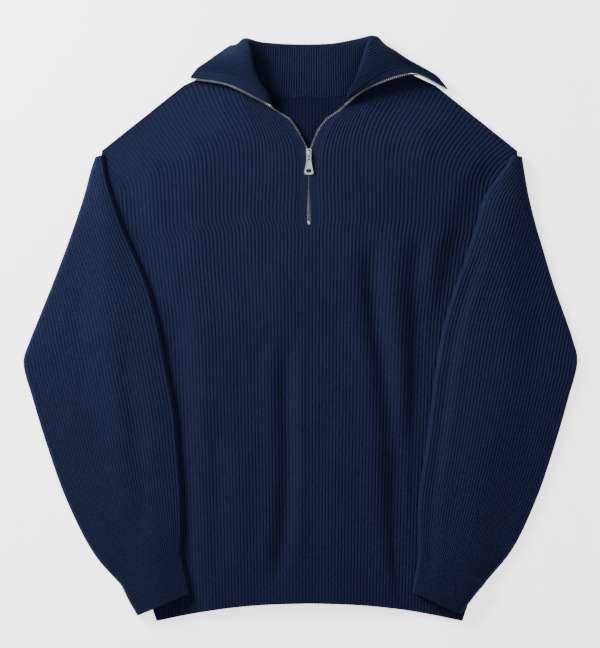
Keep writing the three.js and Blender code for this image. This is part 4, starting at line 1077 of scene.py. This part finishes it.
@dataclass
class Zip:
    """One half of the zip: a tape with its row of separate teeth along the cloth's edge."""

    side: Side
    body: Body
    collar: Collar
    centre_x: float = -1.0
    foot_y: float = 131.0
    slider_y: float = 226.0
    pitch: float = 2.6
    tooth_reach: float = 2.9
    tooth_length: float = 1.35
    tooth_thick: float = 2.0
    tape_width: float = 6.0

    def stations(self) -> tuple[np.ndarray, np.ndarray, np.ndarray, np.ndarray]:
        """Frames along the zip, from its foot to the collar's free edge.

        Returns:
            Middles of the teeth, directions into the cloth, directions to the cloth's inner face,
            and places of the tape's edge on the cloth, all as rows of x, y, z.
        """
        row_word = self.side.word
        heights = [row.inner_y for row in self.body.rows]
        edges = [getattr(row, row_word) for row in self.body.rows]
        rises = [row.rise for row in self.body.rows]
        teeth, intos, inwards, borders = [], [], [], []

        def add(edge: Sequence[float], into: Sequence[float], inward: Sequence[float], out: float) -> None:
            """Adds one frame, with the teeth's middle at a distance outside the cloth's edge."""
            edge, into, inward = (np.array(value, dtype=float) for value in (edge, into, inward))
            into /= np.linalg.norm(into)
            inward /= np.linalg.norm(inward)
            teeth.append(edge - into * out + inward * 0.4)
            borders.append(edge + inward * (WALL / 2 + 0.5))
            intos.append(into)
            inwards.append(inward)

        for y in np.arange(self.foot_y, 228, 6.0):
            x = float(np.interp(y, heights[7:], edges[7:]))
            z = FRONT_REST + float(np.interp(y, heights, rises)) + WALL / 2
            gap = x - self.centre_x * self.side.value
            lower = 2.4 * (1 - smooth(214, 228, y))
            add((x, y, z - lower), (1, 0, 0), (0, 0, -1), gap - (gap - 1.45) * float(smooth(226, 234, y)) - 1.1)
        for index in (9, 10, 11):
            row = self.body.rows[index]
            x = getattr(row, row_word)
            add((x, row.inner_y, FRONT_REST + row.rise + WALL / 2 - 0.3), (0.85, -0.52, 0), (0, 0, -1), 1.45)
        corner = self.collar.neck_edge(self.side, 0.0)[0]
        corner_z = FRONT_REST + self.body.neck_lift + WALL / 2
        add((corner[0] - 2.3, corner[1] - 0.5, corner_z), (0.9, -0.1, 0.1), (0, 0, -1), 1.2)
        ups = np.linspace(0.14, 0.995, 34)
        sign = self.side.value
        start = 0.0 if self.side is Side.LEFT else float(self.collar.spans)
        probe = start + (0.5 if self.side is Side.LEFT else -0.5)
        edge_line = self.collar.middle_points(np.array([start]), ups)[:, 0]
        inner_line = self.collar.middle_points(np.array([probe]), np.clip(ups + 0.12, 0, 1))[:, 0]
        run = np.gradient(edge_line, axis=0)
        run /= np.linalg.norm(run, axis=1, keepdims=True)
        into = inner_line - edge_line
        into -= run * (into * run).sum(axis=1, keepdims=True)
        into /= np.linalg.norm(into, axis=1, keepdims=True)
        inward = np.cross(run, into)
        inward *= -np.sign(inward[:, 2:])
        mirror = np.array([sign, 1, 1])
        for k in range(len(ups)):
            add(edge_line[k] * mirror, into[k] * mirror, inward[k] * mirror, 1.45)
        return tuple(np.array(rows) for rows in (teeth, intos, inwards, borders))

    def tooth(self) -> tuple[np.ndarray, list]:
        """Models one tooth as a bevelled block with a narrower nose.

        Returns:
            Its points, with x into the cloth, y along the zip and z through it, and its faces.
        """
        bpy.ops.object.select_all(action="DESELECT")
        bpy.ops.mesh.primitive_cube_add(size=1.0)
        block = bpy.context.object
        block.scale = (self.tooth_reach, self.tooth_length, self.tooth_thick)
        bpy.ops.object.transform_apply(location=False, rotation=False, scale=True)
        bpy.ops.object.mode_set(mode="EDIT")
        bpy.ops.mesh.select_all(action="DESELECT")
        bpy.ops.object.mode_set(mode="OBJECT")
        for polygon in block.data.polygons:
            polygon.select = polygon.normal.x < -0.9
        bpy.ops.object.mode_set(mode="EDIT")
        bpy.ops.mesh.select_mode(type="FACE")
        bpy.ops.transform.resize(value=(1.0, 0.62, 0.7))
        bpy.ops.mesh.select_all(action="SELECT")
        bpy.ops.mesh.bevel(offset=0.22, segments=1)
        bpy.ops.object.mode_set(mode="OBJECT")
        points = np.array([vertex.co[:] for vertex in block.data.vertices])
        faces = [list(polygon.vertices) for polygon in block.data.polygons]
        bpy.data.objects.remove(block)
        return points, faces

    def along(self, line: np.ndarray, step: float, start: float) -> tuple[np.ndarray, np.ndarray]:
        """Places at even steps along a line.

        Args:
            line: points of the line.
            step: distance between places.
            start: distance of the first place from the line's start.

        Returns:
            Place numbers, with fractions, and how far each is along the line.
        """
        lengths = np.concatenate([[0], np.cumsum(np.linalg.norm(np.diff(line, axis=0), axis=1))])
        distances = np.arange(start, lengths[-1] - 1.0, step)
        return np.interp(distances, lengths, np.arange(len(line))), distances

    def sample(self, table: np.ndarray, numbers: np.ndarray) -> np.ndarray:
        """Reads a table of vectors at place numbers with fractions."""
        low = np.clip(np.floor(numbers).astype(int), 0, len(table) - 2)
        t = (numbers - low)[:, None]
        return table[low] * (1 - t) + table[low + 1] * t

    def build(self) -> list[bpy.types.Object]:
        """Makes the row of teeth and the tape, which goes with the front's cloth."""
        middles, intos, inwards, borders = self.stations()
        numbers, _ = self.along(middles, self.pitch, 0.6 if self.side is Side.LEFT else 0.6 + self.pitch / 2)
        where = self.sample(middles, numbers)
        into = self.sample(intos, numbers)
        inward = self.sample(inwards, numbers)
        ahead = self.sample(middles, numbers + 0.05) - self.sample(middles, numbers - 0.05)
        tooth_points, tooth_faces = self.tooth()
        mirror = np.array([self.side.value, 1.0, 1.0])
        points, faces = [], []
        for k in range(len(numbers)):
            run = ahead[k] / max(np.linalg.norm(ahead[k]), 1e-9)
            side_way = into[k] - run * float(into[k] @ run)
            side_way /= max(np.linalg.norm(side_way), 1e-9)
            through = inward[k] - side_way * float(inward[k] @ side_way) - run * float(inward[k] @ run)
            through /= max(np.linalg.norm(through), 1e-9)
            axes = np.stack([side_way, run, -through])
            base = len(tooth_points) * k
            placed = (where[k] + tooth_points @ axes) * mirror
            points.append(placed)
            flipped = (np.linalg.det(axes) < 0) != (self.side is Side.LEFT)
            for face in tooth_faces:
                corners = [base + index for index in face]
                faces.append(corners[::-1] if flipped else corners)
        mesh = bpy.data.meshes.new(f"zip_{self.side.word}_teeth")
        mesh.from_pydata(((np.concatenate(points) + SHIFT) * MM).tolist(), [], faces)
        teeth = bpy.data.objects.new(f"zip_{self.side.word}_teeth", mesh)
        bpy.context.scene.collection.objects.link(teeth)
        mesh.shade_smooth()
        mesh.set_sharp_from_angle(angle=math.radians(35))
        dress(teeth, ZIP_METAL)
        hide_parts(f"zip_{self.side.word}")
        return [teeth, self.tape(middles, intos, inwards, borders)]

    def tape(
        self, middles: np.ndarray, intos: np.ndarray, inwards: np.ndarray, borders: np.ndarray
    ) -> bpy.types.Object:
        """Makes the woven tape beneath the cloth's edge, from the teeth into the cloth."""
        rows = []
        for k in range(len(middles)):
            base = middles[k] + inwards[k] * 0.2 + intos[k] * 0.3
            tucked = 1.2 if 10 < k - 14 < 4 else 2.2
            edge = borders[k] + intos[k] * tucked
            rows.append([base - inwards[k] * 0.25, (base + edge) / 2, edge])
        points = np.array(rows)
        cloth = Cloth(self.side)
        length = np.concatenate([[0], np.cumsum(np.linalg.norm(np.diff(points[:, 1], axis=0), axis=1))]) / 10
        knit = np.stack(np.broadcast_arrays(np.array([0.0, 1.0, 2.0])[None, :], length[:, None]), axis=-1)
        top = cloth.grid(points, knit, 1.0)
        bottom = cloth.grid(points + inwards[:, None, :] * 0.6, knit, 1.0)
        cloth.wall(top, bottom, (np.arange(3), np.arange(3)))
        made = cloth.build(f"zip_{self.side.word}_tape")
        dress(made, TAPE_CLOTH)
        return made


@dataclass
class Stitches:
    """A row of machine stitches that follows a line on the cloth."""

    name: str
    length: float = 2.3
    pitch: float = 3.1
    radius: float = 0.34

    def build(self, lines: Sequence[np.ndarray]) -> bpy.types.Object:
        """Makes the stitches along the given lines of garment points."""
        bpy.ops.object.select_all(action="DESELECT")
        bpy.ops.mesh.primitive_ico_sphere_add(subdivisions=1, radius=1.0)
        bead = bpy.context.object
        bead.scale = (self.length / 2, self.radius, self.radius)
        bpy.ops.object.transform_apply(location=False, rotation=False, scale=True)
        bead_points = np.array([vertex.co[:] for vertex in bead.data.vertices])
        bead_faces = [list(polygon.vertices) for polygon in bead.data.polygons]
        bpy.data.objects.remove(bead)
        points, faces, total = [], [], 0
        for line in lines:
            steps = np.linalg.norm(np.diff(line, axis=0), axis=1)
            lengths = np.concatenate([[0], np.cumsum(steps)])
            for distance in np.arange(self.pitch, lengths[-1] - self.pitch, self.pitch):
                spot = np.array([np.interp(distance, lengths, line[:, axis]) for axis in range(3)])
                ahead = np.array([np.interp(distance + 0.8, lengths, line[:, axis]) for axis in range(3)])
                turn = Vector(ahead - spot).to_track_quat("X", "Z").to_matrix()
                points.append(spot + bead_points @ np.array(turn).T)
                faces.extend([[total + index for index in face] for face in bead_faces])
                total += len(bead_points)
        mesh = bpy.data.meshes.new(self.name)
        mesh.from_pydata(((np.concatenate(points) + SHIFT) * MM).tolist(), [], faces)
        mesh.shade_smooth()
        made = bpy.data.objects.new(self.name, mesh)
        bpy.context.scene.collection.objects.link(made)
        dress(made, THREAD)
        return made


@dataclass
class SeamRoll:
    """The rounded seam allowance along the neckline, where the collar is linked to the body."""

    name: str = "neck_seam_roll"
    radius: float = 1.25
    sides: int = 10

    def build(self, line: np.ndarray) -> bpy.types.Object:
        """Makes a closed roll that follows a line of garment points."""
        run = np.gradient(line, axis=0)
        run /= np.linalg.norm(run, axis=1, keepdims=True)
        across = np.cross(run, [0.0, 0.0, 1.0])
        across /= np.linalg.norm(across, axis=1, keepdims=True)
        upward = np.cross(across, run)
        turn = np.linspace(0, 2 * math.pi, self.sides, endpoint=False)
        size = self.radius * np.sqrt(smooth(0, 3, np.minimum(np.arange(len(line)), np.arange(len(line))[::-1]) + 0.4))
        ring = across[:, None] * np.cos(turn)[None, :, None] + upward[:, None] * np.sin(turn)[None, :, None]
        points = line[:, None] + ring * size[:, None, None]
        points[..., 2] = np.maximum(points[..., 2], 0.05)
        cloth = Cloth()
        count = len(line)
        length = np.concatenate([[0], np.cumsum(np.linalg.norm(np.diff(line, axis=0), axis=1))])
        knit = np.stack(np.broadcast_arrays(length[:, None] / 3.2, turn[None, :] * 0.05), axis=-1)
        numbers = cloth.grid(points, knit, 1.0)
        closed = np.concatenate([numbers, numbers[:, :1]], axis=1)
        cloth.skin(closed)
        for row, flip in ((0, False), (count - 1, True)):
            middle = cloth.grid(line[row][None, None, :], np.zeros((1, 1, 2)), 1.0)[0, 0]
            for k in range(self.sides):
                a, b = closed[row, k], closed[row, k + 1]
                cloth.add_faces(np.array([(middle, a, b) if flip else (middle, b, a)]))
        made = cloth.build(self.name)
        dress(made, COLLAR_KNIT)
        return made


def edge_line(top: np.ndarray, side: Side, inset: float, rows: slice) -> np.ndarray:
    """A line on the front at a distance from its zip edge.

    Args:
        top: rows and columns of points of the front's upper face.
        side: the half, whose points are mirror images on the left.
        inset: distance from the zip edge.
        rows: rows to take.

    Returns:
        Points of the line in the garment.
    """
    line = []
    for row in top[rows]:
        away = np.concatenate([[0], np.cumsum(np.linalg.norm(np.diff(row[:, :2], axis=0), axis=1))])
        line.append([np.interp(inset, away, row[:, axis]) for axis in range(3)])
    return (np.array(line) + [0, 0, 0.1]) * [side.value, 1, 1]


class Metalwork:
    """Small metal pieces of the zip, modelled from primitives about the garment's centre line."""

    @staticmethod
    def edit(made: bpy.types.Object, chosen: Callable[[Vector], bool], action: Callable[[], object]) -> None:
        """Runs an edit-mode operator on the points of an object that a test chooses."""
        bpy.ops.object.select_all(action="DESELECT")
        bpy.context.view_layer.objects.active = made
        made.select_set(True)
        bpy.ops.object.mode_set(mode="EDIT")
        bpy.ops.mesh.select_mode(type="VERT")
        bpy.ops.mesh.select_all(action="DESELECT")
        bpy.ops.object.mode_set(mode="OBJECT")
        for vertex in made.data.vertices:
            vertex.select = bool(chosen(vertex.co))
        bpy.ops.object.mode_set(mode="EDIT")
        action()
        bpy.ops.object.mode_set(mode="OBJECT")

    @staticmethod
    def block(name: str, size: Sequence[float], centre: Sequence[float]) -> bpy.types.Object:
        """Adds a block of a size at a place, both in garment millimetres."""
        bpy.ops.object.select_all(action="DESELECT")
        bpy.ops.mesh.primitive_cube_add(size=1.0, location=[value * MM for value in np.array(centre) + SHIFT])
        made = bpy.context.object
        made.name = name
        made.scale = [value * MM for value in size]
        bpy.ops.object.transform_apply(location=True, rotation=False, scale=True)
        return made

    @staticmethod
    def apply(made: bpy.types.Object, kind: str, **values: object) -> None:
        """Adds a modifier with its values and applies it."""
        bpy.ops.object.select_all(action="DESELECT")
        bpy.context.view_layer.objects.active = made
        made.select_set(True)
        added = made.modifiers.new(kind.lower(), kind)
        for key, value in values.items():
            setattr(added, key, value)
        bpy.ops.object.modifier_apply(modifier=added.name)

    @staticmethod
    def joined(name: str, parts: Iterable[bpy.types.Object]) -> bpy.types.Object:
        """Joins objects into one with a given name and smooth faces."""
        parts = list(parts)
        bpy.ops.object.select_all(action="DESELECT")
        for part in parts:
            part.select_set(True)
        bpy.context.view_layer.objects.active = parts[0]
        if len(parts) > 1:
            bpy.ops.object.join()
        made = bpy.context.object
        made.name = name
        made.data.name = name
        bpy.ops.object.shade_smooth_by_angle(angle=math.radians(32))
        return made


@dataclass
class Slider:
    """The slider: two plates on the teeth, the post between them and the bail for the pull tab."""

    centre_x: float = -1.0
    foot_y: float = 215.0
    length: float = 13.4
    foot_width: float = 6.0
    head_width: float = 7.4
    low: float = 6.4
    lower_plate: float = 1.2
    top: float = 13.9
    upper_plate: float = 1.6
    bail_middle_y: float = 221.8
    bail_reach: float = 4.2
    bail_height: float = 3.0
    bail_radius: float = 0.55

    def plate(self, name: str, low: float, thick: float) -> bpy.types.Object:
        """A plate that is wider at its head, with cut and rounded corners."""
        centre = (self.centre_x, self.foot_y + self.length / 2, low + thick / 2)
        made = Metalwork.block(name, (self.head_width, self.length, thick), centre)
        foot = (self.foot_y + SHIFT[1]) * MM
        ratio = self.foot_width / self.head_width
        middle = Vector(((self.centre_x + SHIFT[0]) * MM, foot, 0))
        Metalwork.edit(
            made,
            lambda co: co.y < foot + 0.0001,
            lambda: bpy.ops.transform.resize(value=(ratio, 1, 1), center_override=middle),
        )

        def round_corners() -> None:
            """Bevels the four upright edges."""
            bpy.ops.mesh.select_mode(type="EDGE")
            bpy.ops.mesh.select_all(action="DESELECT")
            bpy.ops.object.mode_set(mode="OBJECT")
            for edge in made.data.edges:
                a, b = (made.data.vertices[index].co for index in edge.vertices)
                edge.select = abs(a.z - b.z) > 0.0005
            bpy.ops.object.mode_set(mode="EDIT")
            bpy.ops.mesh.bevel(offset=0.0015, segments=3)

        Metalwork.edit(made, lambda co: True, round_corners)
        Metalwork.apply(made, "BEVEL", width=0.0003, segments=2, limit_method="ANGLE")
        return made

    def bail(self) -> bpy.types.Object:
        """The loop on the upper plate, cut off where it enters the plate."""
        spot = np.array([self.centre_x, self.bail_middle_y, self.top + self.upper_plate]) + SHIFT
        bpy.ops.object.select_all(action="DESELECT")
        bpy.ops.mesh.primitive_torus_add(
            major_radius=self.bail_reach * MM,
            minor_radius=self.bail_radius * MM,
            major_segments=36,
            minor_segments=10,
            rotation=(0, math.pi / 2, 0),
        )
        made = bpy.context.object
        bpy.ops.object.transform_apply(location=False, rotation=True, scale=False)
        made.scale = (1.7, 1.0, self.bail_height / self.bail_reach)
        made.location = [value * MM for value in spot]
        bpy.ops.object.transform_apply(location=True, rotation=False, scale=True)
        cut = [spot[0] * MM, spot[1] * MM, (spot[2] - 0.4) * MM]
        Metalwork.edit(
            made,
            lambda co: True,
            lambda: bpy.ops.mesh.bisect(plane_co=cut, plane_no=(0, 0, 1), use_fill=True, clear_inner=True),
        )
        return made

    def build(self) -> bpy.types.Object:
        """Makes the slider."""
        upper = self.plate("slider_upper", self.top, self.upper_plate)
        lower = self.plate("slider_lower", self.low, self.lower_plate)
        post_y = self.foot_y + self.length - 1.4
        height = self.top - self.low
        post = Metalwork.block(
            "slider_post", (0.9, 2.0, height), (self.centre_x, post_y, self.low + height / 2 + 0.3)
        )
        made = Metalwork.joined("slider_body", [upper, lower, post, self.bail()])
        dress(made, ZIP_METAL)
        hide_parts("zip_slider")
        return made


@dataclass
class PullTab:
    """The pull tab, which swings on the slider's bail and rests with its free end on the cloth."""

    centre_x: float = -1.0
    axis_y: float = 220.6
    axis_z: float = 17.0
    length: float = 25.4
    head: float = 0.9
    thick: float = 1.4
    top_width: float = 6.2
    end_width: float = 12.2
    neck_share: float = 0.3
    end_cut: float = 2.0
    slot_half: float = 1.6
    slot_from: float = 0.7
    slot_to: float = 7.2
    hole_centre: float = 20.6
    hole_half: tuple = (3.4, 2.3)
    tilt: float = 4.6

    def outline_half(self, y: float) -> float:
        """Half the tab's width at a distance along it, where 0 is the axis and the end is negative."""
        neck, end = -self.length * self.neck_share, -self.length + self.end_cut
        ys = (-self.length, end, neck, self.head)
        halves = (self.end_width / 2 - 1.5, self.end_width / 2, self.top_width / 2, self.top_width / 2)
        return float(np.interp(y, ys, halves))

    def build(self) -> bpy.types.Object:
        """Makes the tab with its slot and its oval hole."""
        span = self.length + self.head
        bpy.ops.object.select_all(action="DESELECT")
        bpy.ops.mesh.primitive_cube_add(size=1.0, location=(0, (self.head - self.length) / 2, 0))
        made = bpy.context.object
        made.scale = (1.0, span, self.thick)
        bpy.ops.object.transform_apply(location=True, rotation=False, scale=True)
        cuts = (-self.length * self.neck_share, -self.length + self.end_cut, -14.0, -19.0)
        for cut in cuts:
            Metalwork.edit(
                made,
                lambda co: True,
                lambda: bpy.ops.mesh.bisect(plane_co=(0, cut, 0), plane_no=(0, 1, 0)),
            )
        for vertex in made.data.vertices:
            vertex.co.x = math.copysign(self.outline_half(vertex.co.y), vertex.co.x)
        slot_length = self.slot_to - self.slot_from
        self.cut(made, "cube", (2 * self.slot_half, slot_length, 6), -(self.slot_from + self.slot_to) / 2)
        self.cut(made, "cylinder", (2 * self.hole_half[0], 2 * self.hole_half[1], 6), -self.hole_centre)
        Metalwork.apply(made, "BEVEL", width=0.22, segments=2, limit_method="ANGLE")
        made.scale = (MM, MM, MM)
        made.rotation_euler = (math.radians(self.tilt), 0, 0)
        axis = np.array([self.centre_x, self.axis_y, self.axis_z]) + SHIFT
        made.location = [value * MM for value in axis]
        bpy.ops.object.select_all(action="DESELECT")
        bpy.context.view_layer.objects.active = made
        made.select_set(True)
        bpy.ops.object.transform_apply(location=True, rotation=True, scale=True)
        made = Metalwork.joined("pull_tab", [made])
        dress(made, ZIP_METAL, body="pull")
        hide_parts("zip_pull")
        return made

    def cut(self, made: bpy.types.Object, form: str, size: Sequence[float], y: float) -> None:
        """Cuts a hole of a form and size through the tab at a distance along it."""
        bpy.ops.object.select_all(action="DESELECT")
        if form == "cube":
            bpy.ops.mesh.primitive_cube_add(size=1.0, location=(0, y, 0))
            cutter = bpy.context.object
            cutter.scale = size
        else:
            bpy.ops.mesh.primitive_cylinder_add(vertices=40, radius=0.5, depth=1.0, location=(0, y, 0))
            cutter = bpy.context.object
            cutter.scale = size
        bpy.ops.object.transform_apply(location=True, rotation=False, scale=True)
        Metalwork.apply(made, "BOOLEAN", object=cutter, operation="DIFFERENCE", solver="EXACT")
        bpy.data.objects.remove(cutter)


def bottom_stop() -> bpy.types.Object:
    """The metal stop that holds both rows of teeth at the foot of the zip."""
    made = Metalwork.block("zip_bottom_stop", (4.0, 4.6, 2.4), (-1.0, 134.4, 11.6))
    Metalwork.apply(made, "BEVEL", width=0.0006, segments=3, limit_method="ANGLE")
    made = Metalwork.joined("zip_bottom_stop", [made])
    dress(made, ZIP_METAL)
    return made


@dataclass
class Studio:
    """Pale floor, soft light from the upper left and a camera straight above, as in the picture."""

    centre: tuple = (-0.0006, 0.0060)
    view_height: float = 648 * 1.27 * MM
    lens: float = 200.0
    focus_z: float = 0.010

    def build(self) -> None:
        """Makes the floor, the lights, the world and the camera."""
        bpy.ops.object.select_all(action="DESELECT")
        bpy.ops.mesh.primitive_plane_add(size=6.0, location=(0, 0, -0.0002))
        floor = bpy.context.object
        floor.name = "floor"
        paint = bpy.data.materials.new("pale_floor")
        paint.use_nodes = True
        shader = paint.node_tree.nodes["Principled BSDF"]
        shader.inputs["Base Color"].default_value = (0.93, 0.93, 0.93, 1)
        shader.inputs["Roughness"].default_value = 0.9
        shader.inputs["Emission Color"].default_value = (1, 1, 1, 1)
        shader.inputs["Emission Strength"].default_value = 1.6
        floor.data.materials.append(paint)
        self.lamp("key_light", (-1.30, 1.05, 0.92), 0.7, 120.0)
        self.lamp("fill_light", (0.7, -0.5, 2.3), 2.6, 40.0)
        world = bpy.data.worlds.new("soft_room")
        world.use_nodes = True
        world.node_tree.nodes["Background"].inputs[0].default_value = (1, 1, 1, 1)
        world.node_tree.nodes["Background"].inputs[1].default_value = 0.5
        bpy.context.scene.world = world
        camera_data = bpy.data.cameras.new("camera")
        camera_data.lens = self.lens
        camera_data.sensor_width = 36.0
        camera = bpy.data.objects.new("camera", camera_data)
        distance = self.view_height / 36.0 * self.lens
        camera.location = (self.centre[0], self.centre[1], self.focus_z + distance)
        camera_data.clip_end = 20.0
        bpy.context.scene.collection.objects.link(camera)
        bpy.context.scene.camera = camera

    def lamp(self, name: str, spot: Sequence[float], size: float, power: float) -> None:
        """Adds a square soft light that faces the middle of the garment."""
        data = bpy.data.lights.new(name, "AREA")
        data.size = size
        data.energy = power
        made = bpy.data.objects.new(name, data)
        made.location = spot
        made.rotation_euler = (-Vector(spot)).to_track_quat("-Z", "Y").to_euler()
        bpy.context.scene.collection.objects.link(made)


def sew(body: Body, collar: Collar) -> list[bpy.types.Object]:
    """Makes the rows of stitches beside the zip and along the neckline seam."""
    slit = int(np.searchsorted(body.places(), body.slit_row + 1))
    last = len(body.places()) - 1
    beside = [edge_line(body.tops[side], side, 7.5, slice(slit, last)) for side in Side]
    beside.append(collar.upper[4:60, 6])
    beside.append(collar.upper[4:60, -7])
    quarter = len(collar.upper[0]) // 4
    neckline = collar.middle_points(np.linspace(4.6, 11.4, 120), np.array([0.0]))[0]
    neckline[:, 2] = np.maximum(neckline[:, 2], 1.6)
    inside = collar.upper[5, quarter:-quarter] + [0, 0, 0.15]
    return [
        Stitches("zip_topstitch").build(beside),
        Stitches("neck_seam_stitch").build([inside]),
        SeamRoll().build(neckline),
    ]


def main() -> None:
    """Builds the sweater piece by piece, then the studio, and notes both sizes."""
    logging.basicConfig(level=logging.INFO, format="%(message)s")
    collar = Collar()
    body = Body(collar)
    Studio().build()
    body.back()
    front = body.front()
    collar.build()
    cuff = dict(slit_rows=0, body=body, row_step=4.0, mouth_round=True)
    Tube("sleeve_left", Side.LEFT, SLEEVE_LEFT, 7, GROOVE_LEFT, body, (0.40, 0.56), 0.145).build()
    Tube("sleeve_right", Side.RIGHT, SLEEVE_RIGHT, 7, GROOVE_RIGHT, body, (0.40, 0.56), 0.145).build()
    Tube("cuff_left", Side.LEFT, CUFF_LEFT, groove=GROOVE_LEFT, flat=(0.17, 0.05), area=None, **cuff).build()
    Tube("cuff_right", Side.RIGHT, CUFF_RIGHT, groove=GROOVE_RIGHT, flat=(0.17, 0.05), area=None, **cuff).build()
    trims = [bottom_stop()]
    for side in Side:
        trims += Zip(side, body, collar).build()
    Slider().build()
    PullTab().build()
    trims += sew(body, collar)


if __name__ == "__main__":
    main()
